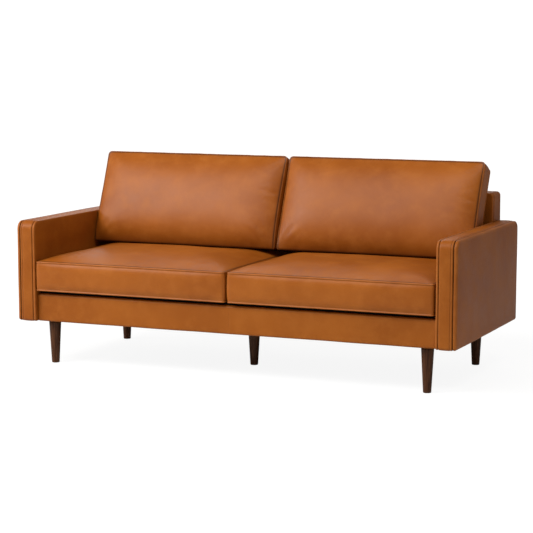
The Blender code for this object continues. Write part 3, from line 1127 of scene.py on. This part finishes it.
@dataclass
class Cushion:
    """A loose cushion: two panels sewn to a boxing with welts, then filled until they crown."""

    side: Side
    finishes: Finishes
    seed: float = 1.0
    role: str = "cushion"
    corner: float = 0.011
    pull_in: float = 0.0
    pull_up: float = 0.002
    filling: Filling = field(default_factory=Filling)
    creases: Sequence[Crease] = ()
    crown: float = 0.020
    rise_reach: float = 0.060
    rim_hold: float = 0.3
    fill: float = 0.8

    @property
    def node(self) -> str:
        """The name of the frame's node and body."""
        return f"{self.role}_{self.side.word}"

    @property
    def half_width(self) -> float:
        """Half the cushion's width, from its solid."""
        low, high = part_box(self.node)
        return (high.x - low.x) / 2.0

    @property
    def centre_x(self) -> float:
        """Where the cushion's middle is, from its solid."""
        low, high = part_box(self.node)
        return (high.x + low.x) / 2.0

    def rising(self, a: Array, b: Array, half_b: float, reach_low: float, reach_high: float) -> Array:
        """The share of the full crown at each place.

        Args:
            a: Positions across.
            b: Positions up.
            half_b: Half the panel's height.
            reach_low: How quickly it rises from the lower edge.
            reach_high: How quickly it rises from the upper edge.

        Returns:
            The share from 0 to 1.
        """
        side = 1.0 - np.exp(-np.maximum(self.half_width - np.abs(a), 0.0) / self.rise_reach)
        low = 1.0 - np.exp(-np.maximum(half_b + b, 0.0) / reach_low)
        high = 1.0 - np.exp(-np.maximum(half_b - b, 0.0) / reach_high)
        return side * low * high

    def drawn_in(self, shape: PaddedShape, half_b: float) -> None:
        """Pulls the sides in between the corners.

        Args:
            shape: The shape, changed in place.
            half_b: Half the panel's height.
        """
        across = np.clip(shape.a / self.half_width, -1.0, 1.0)
        up = np.clip(shape.b / half_b, -1.0, 1.0)
        shape.a = shape.a - self.pull_in * across * np.cos(up * math.pi / 2.0)
        shape.b = shape.b - self.pull_up * up * np.cos(across * math.pi / 2.0)

    def pucker(self, piece: bpy.types.Object, shape: PaddedShape) -> None:
        """Adds the small gathers beside the seams, the folds and a gentle unevenness.

        Args:
            piece: The filled cushion.
            shape: Its shape, for where each point is on the panels.
        """
        points = points_of(piece)
        normals = normals_of(piece)
        gathers = clouds(points, scale=(34.0, 34.0, 34.0), seed=self.seed)
        broad = clouds(points, scale=(7.5, 7.5, 7.5), seed=self.seed + 3.0)
        inside = np.maximum(shape.inset, 0.0)
        face = shape.region == Region.FACE.value
        rim = shape.region == Region.RIM.value
        beside = np.exp(-inside / 0.028) * (1.0 - np.exp(-inside / 0.003))
        amount = np.where(face, 0.0011 * gathers * beside, 0.0)
        amount = amount + np.where(rim, 0.0007 * gathers, 0.0)
        amount = amount + 0.0016 * broad * np.where(face, 1.0 - np.exp(-inside / 0.05), 0.0)
        for crease in self.creases:
            amount = amount - np.where(face, crease.depth_at(shape.a, shape.b), 0.0)
        move_points(piece, points + normals * amount[:, None])

    def settle(self, points: Array) -> Array:
        """Presses the cushion against what it touches. A plain one touches nothing.

        Args:
            points: Rows of three.

        Returns:
            The settled rows.
        """
        return points

    def dress(self, piece: bpy.types.Object, shape: PaddedShape, held: Array, give: Array) -> None:
        """Fills the sewn cover, settles it, adds its folds and joins it to the sofa.

        Args:
            piece: The cover, sewn to size.
            shape: Its shape.
            held: How firmly each point is held, from 0 to 1.
            give: How much of its simulated travel each point keeps.
        """
        self.filling.blow(piece, held, give)
        move_points(piece, self.settle(points_of(piece)))
        self.pucker(piece, shape)
        move_points(piece, self.settle(points_of(piece)))
        subdivide(piece)
        join_sofa(piece, self.node, Slot.CUSHION_LEATHER, [self.node], self.fill)


@dataclass
class SeatCushion(Cushion):
    """A seat cushion, crowned in the middle and pressed flat where the back cushion stands on it."""

    role: str = "seat_cushion"
    front_y: float = -0.407
    rear_y: float = 0.296
    bottom_z: float = 0.3004
    seam_z: float = 0.4195
    lid_z: float = 0.4503
    lid_y: float = 0.060
    lid_slope: float = 0.26
    crown: float = 0.026
    rise_reach: float = 0.032
    boxing_swell: float = 0.006
    welt: float = 0.0014
    fill: float = 0.85

    def swelling(self, a: Array, b: Array, out_a: Array, out_b: Array) -> Array:
        """How much the boxing swells: most at the front, some towards the other cushion.

        Args:
            a: Positions across.
            b: Positions from front to rear; not used.
            out_a: The direction out, across.
            out_b: The direction out, from front to rear.

        Returns:
            The share of the full swell.
        """
        corner = 1.0 - np.exp(-np.maximum(self.half_width - np.abs(a), 0.0) / 0.035)
        towards = out_a * -self.side.value
        weight = np.where(towards > 0.5, 0.45, 0.08)
        return np.where(out_b < -0.7, corner, weight)

    def settle(self, points: Array) -> Array:
        """Holds the top down under the back cushion and the bottom on the deck.

        Args:
            points: Rows of three.

        Returns:
            The pressed rows.
        """
        lid = self.lid_z + self.lid_slope * np.maximum(self.lid_y - points[:, 1], 0.0)
        pressed = points.copy()
        pressed[:, 2] = soft_min(points[:, 2], lid, 0.006)
        pressed[:, 2] = np.maximum(pressed[:, 2], self.bottom_z - 0.0006)
        return pressed

    def make(self) -> None:
        """Builds, fills and dresses the cushion."""
        half_b = (self.rear_y - self.front_y) / 2.0
        centre_y = (self.rear_y + self.front_y) / 2.0
        half_c = (self.seam_z - self.bottom_z) / 2.0
        centre_z = (self.seam_z + self.bottom_z) / 2.0
        form = PaddedForm(self.half_width, half_b, (self.corner,) * 4,
                          piped_rim(half_c, self.boxing_swell, self.welt), step=0.0115)
        shape = form.build(
            lambda a, b, d: self.crown * self.rising(a, b, half_b, reach_low=0.050, reach_high=0.055),
            flat,
            self.swelling,
        )
        self.drawn_in(shape, half_b)
        piece = shape.form(lambda a, b, c: np.column_stack(
            (self.centre_x + a, centre_y + b, centre_z + c))).make(
                f"{self.node}_cover", self.finishes[Slot.CUSHION_LEATHER])
        face = shape.region == Region.FACE.value
        rim = shape.region == Region.RIM.value
        at_front = rim & (shape.out_b < -0.3)
        sewn = (face & (shape.inset < STITCH_WIDTH)) | (rim & (np.abs(shape.c) > half_c - WELT_DEPTH))
        held = np.where(sewn, 1.0, np.where(face, 0.0, np.where(rim, self.rim_hold, 1.0)))
        give = np.where(face, 1.0, np.where(at_front, 0.3, 0.0))
        self.dress(piece, shape, held, give)


@dataclass
class BackCushion(Cushion):
    """A back cushion that leans on the frame and stands on the seat cushion."""

    role: str = "back_cushion"
    foot_y: float = 0.070
    foot_z: float = 0.457
    height: float = 0.4015
    lean: float = math.radians(23.0)
    boxing: float = 0.088
    rest_z: float = 0.4524
    crown: float = 0.038
    under_crown: float = 0.012
    tuck: float = 0.019
    tuck_reach: float = 0.034
    low_roll_shade: float = 0.52
    rise_reach: float = 0.034
    boxing_swell: float = 0.0045
    welt: float = 0.0016
    corner: float = 0.014
    pull_in: float = 0.003
    pull_up: float = 0.0
    creases: Sequence[Crease] = (
        Crease((0.408, 0.030), (0.330, 0.044), 0.0026, 0.0065),
        Crease((0.409, -0.010), (0.350, -0.002), 0.0018, 0.0055),
        Crease((0.405, 0.085), (0.352, 0.078), 0.0014, 0.0060),
        Crease((0.404, -0.188), (0.330, -0.090), 0.0022, 0.0110),
        Crease((0.392, -0.192), (0.285, -0.120), 0.0016, 0.0100),
        Crease((-0.404, -0.188), (-0.335, -0.095), 0.0022, 0.0110),
        Crease((-0.392, -0.192), (-0.290, -0.125), 0.0014, 0.0100),
        Crease((-0.406, 0.186), (-0.350, 0.125), 0.0012, 0.0080),
        Crease((0.405, 0.186), (0.352, 0.130), 0.0014, 0.0080),
    )
    filling: Filling = field(default_factory=lambda: Filling(pressure=5.0))

    def place(self, a: Array, b: Array, c: Array) -> Array:
        """Stands the cushion up, leaning back on its foot.

        Args:
            a: Positions across.
            b: Positions up the panel from its middle.
            c: Positions out from the middle of the boxing.

        Returns:
            Rows of X, Y and Z.
        """
        sine, cosine = math.sin(self.lean), math.cos(self.lean)
        up = b + self.height / 2.0
        back = self.boxing / 2.0 - c
        return np.column_stack((self.centre_x + a, self.foot_y + up * sine + back * cosine,
                                self.foot_z + up * cosine - back * sine))

    def swelling(self, a: Array, b: Array, out_a: Array, out_b: Array) -> Array:
        """How much the boxing swells: along the top and towards the other cushion.

        Args:
            a: Positions across; not used.
            b: Positions up.
            out_a: The direction out, across.
            out_b: The direction out, up.

        Returns:
            The share of the full swell.
        """
        towards = out_a * -self.side.value
        corner = 1.0 - np.exp(-np.maximum(self.height / 2.0 - np.abs(b), 0.0) / 0.030)
        return np.where(towards > 0.5, corner, np.where(out_b > 0.7, 0.5, 0.10))

    def settle(self, points: Array) -> Array:
        """Flattens the foot where it stands on the seat.

        Args:
            points: Rows of three.

        Returns:
            The rows with nothing under the seat's surface.
        """
        rested = points.copy()
        rested[:, 2] = soft_max(points[:, 2], np.full(len(points), self.rest_z), 0.004)
        return rested

    def make(self) -> None:
        """Builds, fills and dresses the cushion."""
        half_b, half_c = self.height / 2.0, self.boxing / 2.0
        form = PaddedForm(self.half_width, half_b, (self.corner,) * 4,
                          piped_rim(half_c, self.boxing_swell, self.welt), step=0.0110)
        shape = form.build(
            lambda a, b, d: self.crown * self.rising(a, b, half_b, reach_low=0.034, reach_high=0.046),
            lambda a, b, d: self.under_crown * self.rising(a, b, half_b, reach_low=0.070,
                                                           reach_high=0.060),
            self.swelling,
        )
        self.drawn_in(shape, half_b)
        ahead = np.clip((shape.c + half_c) / self.boxing, 0.0, 1.0)
        low = np.exp(-np.maximum(shape.b + half_b, 0.0) / self.tuck_reach)
        shape.c = shape.c - self.tuck * low * ahead
        # Painted shade along the lower roll, where the face turns down towards the seat: the seam shade
        # mark grows there.
        shape.seam = shape.seam + self.low_roll_shade * low * ahead
        piece = shape.form(self.place).make(
            f"{self.node}_cover", self.finishes[Slot.CUSHION_LEATHER])
        face = shape.region == Region.FACE.value
        rim = shape.region == Region.RIM.value
        sewn = (~rim & (shape.inset < STITCH_WIDTH)) | (rim & (np.abs(shape.c) > half_c - WELT_DEPTH))
        held = np.where(sewn, 1.0, np.where(rim, self.rim_hold, 0.0))
        give = np.where(face, 0.40, np.where(rim, 0.15, 0.45))
        self.dress(piece, shape, held, give)


# ------------------------------------------------------------------------------------ upholstered frame


@dataclass
class Arm:
    """A slim arm: a padded inner panel, a padded outer panel and one strip round the edge."""

    side: Side
    finishes: Finishes
    half_y: float = 0.410
    outer_x: float = 0.9285
    outer_back_x: float = 0.9122
    inner_x: float = 0.846
    inner_back_x: float = 0.857
    inner_rear_y: float = 0.299
    strip_x: tuple[float, float] = (0.8574, 0.9116)
    strip_seam_x: float = 0.9026
    seat_z: float = 0.452
    cushion_y: float = 0.16
    panel_crown: float = 0.0004
    seat_crown: float = 0.0055

    def outer_panel(self) -> None:
        """The panel that faces away from the seat, with a soft roll round it."""
        out, base = self.outer_x, self.outer_back_x
        # The roll is marked lighter, partly rubbed leather and partly a painted highlight where it
        # catches the light; its back edge has painted shade in the seam.
        rim = (RimRow(-0.0100, out - 0.0002, 0.0, 0.5), RimRow(-0.0068, out - 0.0010, 0.0, 0.8),
               RimRow(-0.0042, out - 0.0024, 0.0, 0.9), RimRow(-0.0020, out - 0.0046, 0.0, 0.8),
               RimRow(-0.0006, out - 0.0074, 0.0, 0.5), RimRow(-0.0002, base + 0.0046, 0.0, 0.3),
               RimRow(-0.0006, base + 0.0028, 0.45, 0.1), RimRow(-0.0032, base + 0.0004, 0.9))
        form = PaddedForm(self.half_y, (ARM_TOP_Z - BASE_Z) / 2.0,
                          (FOOT_RADIUS, FOOT_RADIUS, TOP_RADIUS, TOP_RADIUS), rim)
        shape = form.build(puffed(0.0036, 0.045), flat)
        piece = shape.form(lambda a, b, c: np.column_stack(
            (self.side.value * c, a, ARM_MIDDLE_Z + b))).make(
                f"arm_{self.side.word}_outer_cover", self.finishes[Slot.FRAME_LEATHER])
        ripple(piece, depth=0.0010, scale=(1.0, 6.0, 6.0), seed=2.0 + self.side.value)
        join_frame(piece, f"arm_{self.side.word}_outer_panel")

    def inner_panel(self) -> None:
        """The panel that looks at the cushions, a little fuller above the seat."""
        deep = self.inner_back_x - self.inner_x
        # The rolled front edge is marked lighter, partly rubbed and partly a painted highlight; its back
        # edge has painted shade in the seam.
        rim = (RimRow(-0.0042, deep - 0.0004, 0.0, 0.3), RimRow(-0.0020, deep - 0.0010, 0.0, 0.8),
               RimRow(-0.0006, deep - 0.0030, 0.0, 0.9), RimRow(0.0, deep / 2.0, 0.0, 0.5),
               RimRow(-0.0008, 0.0020, 0.1, 0.3), RimRow(-0.0030, 0.0004, 0.5))
        middle_y = (self.inner_rear_y - self.half_y) / 2.0
        form = PaddedForm((self.inner_rear_y + self.half_y) / 2.0, (ARM_TOP_Z - BASE_Z) / 2.0,
                          (FOOT_RADIUS, 0.004, 0.004, TOP_RADIUS), rim)

        def fuller(a: Array, b: Array, d: Array) -> Array:
            """A swell above the seat, in front of the back cushion."""
            above = np.clip((b + ARM_MIDDLE_Z - self.seat_z) / 0.05, 0.0, 1.0)
            ahead = np.clip((self.cushion_y - a - middle_y) / 0.25, 0.0, 1.0)
            inward = 1.0 - np.exp(-d / 0.030)
            return (self.panel_crown + self.seat_crown * above * ahead) * inward

        shape = form.build(fuller, flat)
        piece = shape.form(lambda a, b, c: np.column_stack(
            (self.side.value * (self.inner_back_x - c), middle_y + a, ARM_MIDDLE_Z + b))).make(
                f"arm_{self.side.word}_inner_cover", self.finishes[Slot.FRAME_LEATHER])
        join_frame(piece, f"arm_{self.side.word}_inner_panel")

    def strip(self) -> None:
        """The strip up the front, over the top and down the rear."""
        reach = self.half_y - 0.040
        corners = ((-reach, BASE_Z, 0.0), (-self.half_y, BASE_Z, FOOT_RADIUS),
                   (-self.half_y, ARM_TOP_Z, TOP_RADIUS), (self.half_y, ARM_TOP_Z, TOP_RADIUS),
                   (self.half_y, BASE_Z, FOOT_RADIUS), (reach, BASE_Z, 0.0))
        rows = rolled_rows(*self.strip_x, crown=0.0010, seams=[self.strip_seam_x], step=0.009)
        band = Band(corners, rows, thick=0.0108)
        form = band.form(lambda s, u, v: np.column_stack((self.side.value * s, u, v)))
        piece = form.make(f"arm_{self.side.word}_edge_strip", self.finishes[Slot.FRAME_LEATHER])
        ripple(piece, depth=0.0006, scale=(10.0, 11.0, 11.0), seed=5.0 + self.side.value)
        join_frame(piece, *(f"arm_{self.side.word}_{part}_strip" for part in ("front", "top", "rear")))

    def make(self) -> None:
        """Builds the arm's three covers."""
        self.outer_panel()
        self.inner_panel()
        self.strip()


@dataclass
class BackFrame:
    """The fixed back behind the loose cushions: two panels and one strip over them."""

    finishes: Finishes
    half_x: float = 0.853
    front_y: tuple[float, float] = (0.300, 0.314)
    rear_y: tuple[float, float] = (0.396, 0.410)
    strip_y: tuple[float, float] = (0.3144, 0.3956)
    seam_y: float = 0.372
    inner_bottom_z: float = 0.2987

    def _rim(self, deep: float) -> Sequence[RimRow]:
        """The rolled edge of a panel that is `deep` thick: lighter along the roll, partly rubbed and
        partly painted highlight, with painted shade in its seam.
        """
        return (RimRow(-0.0046, deep - 0.0004, 0.0, 0.3), RimRow(-0.0022, deep - 0.0011, 0.0, 0.8),
                RimRow(-0.0006, deep - 0.0034, 0.0, 0.9), RimRow(0.0, deep / 2.0, 0.0, 0.5),
                RimRow(-0.0012, 0.0024, 0.2, 0.3), RimRow(-0.0036, 0.0002, 1.0))

    def inner_panel(self) -> None:
        """The panel behind the cushions."""
        low, high = self.front_y
        middle_z = (self.inner_bottom_z + BACK_TOP_Z) / 2.0
        form = PaddedForm(self.half_x, (BACK_TOP_Z - self.inner_bottom_z) / 2.0,
                          (0.003, 0.003, BACK_CORNER_RADIUS, BACK_CORNER_RADIUS),
                          self._rim(high - low), step=0.024)
        shape = form.build(puffed(0.0006, 0.05), flat)
        piece = shape.form(lambda a, b, c: np.column_stack((a, high - c, middle_z + b))).make(
            "back_inner_cover", self.finishes[Slot.FRAME_LEATHER])
        join_frame(piece, "back_inner_panel")

    def outer_panel(self) -> None:
        """The panel that faces the room behind the sofa."""
        low, high = self.rear_y
        middle_z = (BASE_Z + BACK_TOP_Z) / 2.0
        form = PaddedForm(self.half_x, (BACK_TOP_Z - BASE_Z) / 2.0,
                          (FOOT_RADIUS, FOOT_RADIUS, BACK_CORNER_RADIUS, BACK_CORNER_RADIUS),
                          self._rim(high - low), step=0.022)
        shape = form.build(puffed(0.0030, 0.080), flat)
        piece = shape.form(lambda a, b, c: np.column_stack((-a, low + c, middle_z + b))).make(
            "back_outer_cover", self.finishes[Slot.FRAME_LEATHER])
        ripple(piece, depth=0.0012, scale=(5.0, 1.0, 5.0), seed=9.0)
        join_frame(piece, "back_outer_panel")

    def strip(self) -> None:
        """The strip up one end, along the top and down the other."""
        reach = self.half_x - 0.040
        corners = ((-reach, BASE_Z, 0.0), (-self.half_x, BASE_Z, FOOT_RADIUS),
                   (-self.half_x, BACK_TOP_Z, BACK_CORNER_RADIUS),
                   (self.half_x, BACK_TOP_Z, BACK_CORNER_RADIUS),
                   (self.half_x, BASE_Z, FOOT_RADIUS), (reach, BASE_Z, 0.0))
        rows = rolled_rows(*self.strip_y, crown=0.0008, seams=[self.seam_y])
        band = Band(corners, rows, thick=0.0108, step=0.022)
        form = band.form(lambda s, u, v: np.column_stack((u, s, v)))
        piece = form.make("back_edge_strip", self.finishes[Slot.FRAME_LEATHER])
        ripple(piece, depth=0.0006, scale=(9.0, 10.0, 9.0), seed=12.0)
        join_frame(piece, *(f"back_{part}_strip" for part in ("left", "top", "right")))

    def make(self) -> None:
        """Builds the back's three covers."""
        self.inner_panel()
        self.outer_panel()
        self.strip()


@dataclass
class FrontRail:
    """The padded leather over the front rail, in two lengths joined near the middle."""

    finishes: Finishes
    half_x: float = 0.8448
    front_y: float = -0.388
    back_y: float = -0.3766
    top_z: float = 0.2878
    top_radius: float = 0.0095
    foot_radius: float = 0.007
    seam_x: float = 0.004
    seam_shows: float = 0.30
    swell: float = 0.0018

    def make(self) -> None:
        """Builds the cover, its seams shallower and their painted shade fainter than elsewhere."""
        corners = ((self.back_y, BASE_Z, 0.0), (self.front_y, BASE_Z, self.foot_radius),
                   (self.front_y, self.top_z, self.top_radius), (self.back_y, self.top_z, 0.0))
        full = rolled_rows(-self.half_x, self.half_x, crown=0.0, seams=[self.seam_x], step=0.022)
        rows = [replace(row, seam=self.seam_shows * row.seam, rise=self.seam_shows * row.rise)
                for row in full]
        band = Band(corners, rows, thick=0.0072, step=0.010)
        form = band.form(
            lambda s, u, v: np.column_stack((s, u, v)),
            lambda s, share: self.swell * np.sin(
                math.pi * np.clip((share - 0.18) / 0.64, 0.0, 1.0)))
        piece = form.make("front_rail_leather", self.finishes[Slot.FRAME_LEATHER])
        ripple(piece, depth=0.0008, scale=(7.0, 7.0, 9.0), seed=15.0)
        join_frame(piece, "front_rail_cover")


# ------------------------------------------------------------------------------------------ hard parts


@dataclass
class Legs:
    """Five turned legs, each a tapered cone with a softened foot."""

    finishes: Finishes
    foot_radius: float = 0.0155
    top_radius: float = 0.0250
    foot_round: float = 0.0022
    sides: int = 72
    foot_steps: int = 6
    shaft_steps: int = 12
    names: tuple[str, ...] = ("front_left", "front_right", "rear_left", "rear_right", "centre")

    def turn(self, name: str) -> None:
        """Turns one leg.

        Args:
            name: The part of its name after leg_.
        """
        node = f"leg_{name}"
        low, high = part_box(node)
        middle = (low + high) / 2.0
        height = high.z - low.z
        profile = [(self.foot_radius - self.foot_round, 0.0, 0.6)]
        for step in range(1, self.foot_steps):
            angle = math.radians(90.0 * step / self.foot_steps)
            profile.append((self.foot_radius - self.foot_round * (1.0 - math.sin(angle)),
                            self.foot_round * (1.0 - math.cos(angle)), 1.0))
        for step in range(self.shaft_steps + 1):
            share = step / self.shaft_steps
            reach = self.foot_round + (height - self.foot_round) * share
            radius = self.foot_radius + (self.top_radius - self.foot_radius) * reach / height
            profile.append((radius, reach, max(0.0, 0.5 - 4.0 * share)))
        rings = []
        for radius, reach, _ in profile:
            for k in range(self.sides):
                angle = 2.0 * math.pi * k / self.sides
                rings.append((middle.x + radius * math.cos(angle),
                              middle.y + radius * math.sin(angle), low.z + reach))
        faces = []
        for i in range(len(profile) - 1):
            for k in range(self.sides):
                n = (k + 1) % self.sides
                faces.append((i * self.sides + k, i * self.sides + n, (i + 1) * self.sides + n,
                              (i + 1) * self.sides + k))
        faces.append(tuple(reversed(range(self.sides))))
        faces.append(tuple((len(profile) - 1) * self.sides + k for k in range(self.sides)))
        wear_and_highlight = np.repeat([row[2] for row in profile], self.sides)
        form = Form(np.array(rings), faces, np.zeros(len(rings)), wear_and_highlight)
        piece = form.make(f"{node}_turned", self.finishes[Slot.WALNUT])
        join_sofa(piece, FRAME_BODY, Slot.WALNUT, [node], fill=None)

    def make(self) -> None:
        """Turns all five legs."""
        for name in self.names:
            self.turn(name)


@dataclass
class SeatBox:
    """The frame's own nodes: they keep their shapes and get their finishes."""

    finishes: Finishes
    steel: tuple[str, ...] = ("seat_spring", "leg_plate")
    cloth: tuple[str, ...] = ("seat_deck", "dust_cover")
    leather: tuple[str, ...] = ("cover", "strip", "panel")

    def slot_of(self, node: str) -> Slot:
        """Which finish a node of the frame has.

        Args:
            node: The node's name.

        Returns:
            Its slot.
        """
        if node.startswith(self.steel):
            return Slot.STEEL
        if node.startswith(self.cloth):
            return Slot.BLACK_CLOTH
        if "cushion" in node:
            return Slot.CUSHION_LEATHER
        if node.endswith(self.leather):
            return Slot.FRAME_LEATHER
        if node.startswith("leg_"):
            return Slot.WALNUT
        return Slot.TIMBER

    def make(self) -> None:
        """Dresses every node of the frame."""
        for name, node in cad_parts.items():
            slot = self.slot_of(name)
            node.data.materials.clear()
            node.data.materials.append(self.finishes[slot])
            log.info("%s: dressed in %s", name, slot.value)


# ---------------------------------------------------------------------------------------------- studio


@dataclass(frozen=True)
class Softbox:
    """A rectangular studio light that is aimed at a point."""

    name: str
    place: Point
    aim: Point
    width: float
    height: float
    power: float
    colour: Colour = NEUTRAL

    def make(self) -> None:
        """Hangs the light."""
        data = bpy.data.lights.new(self.name, "AREA")
        data.shape = "RECTANGLE"
        data.size = self.width
        data.size_y = self.height
        data.energy = self.power
        data.color = self.colour
        light = bpy.data.objects.new(self.name, data)
        light.location = self.place
        heading = Vector(self.aim) - Vector(self.place)
        light.rotation_euler = heading.to_track_quat("-Z", "Y").to_euler()
        bpy.context.scene.collection.objects.link(light)


def show_to_camera(tree: bpy.types.NodeTree, unseen: bpy.types.NodeSocket,
                   seen: bpy.types.NodeSocket, output: bpy.types.NodeSocket) -> None:
    """Gives one shader to the camera and another to every other ray.

    Args:
        tree: The nodes to add to.
        unseen: What other rays meet.
        seen: What the camera sees.
        output: Where the choice goes.
    """
    rays = tree.nodes.new("ShaderNodeLightPath")
    choice = tree.nodes.new("ShaderNodeMixShader")
    tree.links.new(rays.outputs["Is Camera Ray"], choice.inputs[0])
    tree.links.new(unseen, choice.inputs[1])
    tree.links.new(seen, choice.inputs[2])
    tree.links.new(choice.outputs[0], output)


@dataclass
class Studio:
    """A white room: a pale floor, a pale surround, five softboxes and the camera."""

    floor_half: float = 40.0
    floor_bounce: float = 0.66
    floor_shade: float = 0.13
    floor_fade: tuple[float, float] = (1.2, 3.6)
    floor_glow: tuple[float, float] = (0.905, 1.02)
    surround: float = 0.27
    backdrop: float = 1.05
    lens_mm: float = 120.75
    sensor_mm: float = 36.0
    camera_place: Point = (2.8447, -6.6047, 1.3252)
    camera_turn: Point = (81.674, 0.0, 23.337)
    shift_y: float = 0.0555
    lights: Sequence[Softbox] = (
        Softbox("key", (-3.24, -3.34, 3.66), SOFA_MIDDLE, 2.2, 1.8, 200.0, WARM_WHITE),
        Softbox("low", (-5.08, -1.95, 1.9), SOFA_MIDDLE, 2.0, 1.6, 90.0, WARM_WHITE),
        Softbox("high", (-0.3, -3.5, 4.8), (0.3, -0.1, 0.45), 2.6, 2.0, 120.0),
        Softbox("right", (2.78, -1.71, 5.04), SOFA_MIDDLE, 2.0, 1.6, 62.0, AMBER),
        Softbox("rear", (-1.6, 3.8, 2.6), (0.0, 0.2, 0.4), 2.6, 2.0, 40.0),
    )

    def floor(self) -> None:
        """A plain pale floor that fades to white."""
        tree = ShaderTree("white_floor")
        pale = tree.node("ShaderNodeBsdfDiffuse")
        tree.feed((self.floor_bounce,) * 3, pale.inputs["Color"])
        shown = tree.node("ShaderNodeBsdfDiffuse")
        tree.feed((self.floor_shade,) * 3, shown.inputs["Color"])
        away = tree.node("ShaderNodeVectorMath", operation="LENGTH")
        tree.feed(tree.place(), away.inputs[0])
        glow = tree.node("ShaderNodeEmission")
        strength = tree.spread(away.outputs["Value"], *self.floor_fade, *self.floor_glow)
        tree.feed(strength, glow.inputs["Strength"])
        both = tree.node("ShaderNodeAddShader")
        tree.feed(shown.outputs[0], both.inputs[0])
        tree.feed(glow.outputs[0], both.inputs[1])
        surface = tree.nodes["Material Output"].inputs["Surface"]
        show_to_camera(tree.material.node_tree, pale.outputs[0], both.outputs[0], surface)
        tree.nodes.remove(tree.shader)
        half = self.floor_half
        mesh = bpy.data.meshes.new("floor")
        mesh.from_pydata([(-half, -half, 0.0), (half, -half, 0.0), (half, half, 0.0),
                          (-half, half, 0.0)], [], [(0, 1, 2, 3)])
        mesh.materials.append(tree.material)
        floor = bpy.data.objects.new("floor", mesh)
        bpy.context.scene.collection.objects.link(floor)

    def air(self) -> None:
        """A surround that shows white and gives a soft even light."""
        world = bpy.data.worlds.new("studio")
        world.use_nodes = True
        nodes = world.node_tree.nodes
        fill_light = nodes["Background"]
        shown = nodes.new("ShaderNodeBackground")
        for background, strength in ((fill_light, self.surround), (shown, self.backdrop)):
            background.inputs["Color"].default_value = (*NEUTRAL, 1.0)
            background.inputs["Strength"].default_value = strength
        surface = nodes["World Output"].inputs["Surface"]
        show_to_camera(world.node_tree, fill_light.outputs[0], shown.outputs[0], surface)
        bpy.context.scene.world = world

    def camera(self) -> None:
        """The camera, to the right of the sofa and a little above the cushions."""
        data = bpy.data.cameras.new("camera")
        data.sensor_width = self.sensor_mm
        data.lens = self.lens_mm
        data.shift_y = self.shift_y
        data.clip_end = 200.0
        camera = bpy.data.objects.new("camera", data)
        camera.location = self.camera_place
        camera.rotation_euler = tuple(math.radians(angle) for angle in self.camera_turn)
        bpy.context.scene.collection.objects.link(camera)
        bpy.context.scene.camera = camera

    def make(self) -> None:
        """Sets the studio up."""
        bpy.context.scene.view_settings.view_transform = "Standard"
        self.camera()
        self.floor()
        self.air()
        for light in self.lights:
            light.make()
        log.info("studio: camera, floor and %d softboxes", len(self.lights))


def main() -> None:
    """Builds the studio and every sub-assembly in order."""
    logging.basicConfig(level=logging.INFO, format="%(name)s: %(message)s", stream=sys.stdout)
    Studio().make()
    finishes = Finishes()
    SeatBox(finishes).make()
    for side in Side:
        Arm(side, finishes).make()
    BackFrame(finishes).make()
    FrontRail(finishes).make()
    Legs(finishes).make()
    for number, side in enumerate(Side):
        SeatCushion(side, finishes, seed=21.0 + number).make()
        BackCushion(side, finishes, seed=31.0 + number).make()


if __name__ == "__main__":
    main()
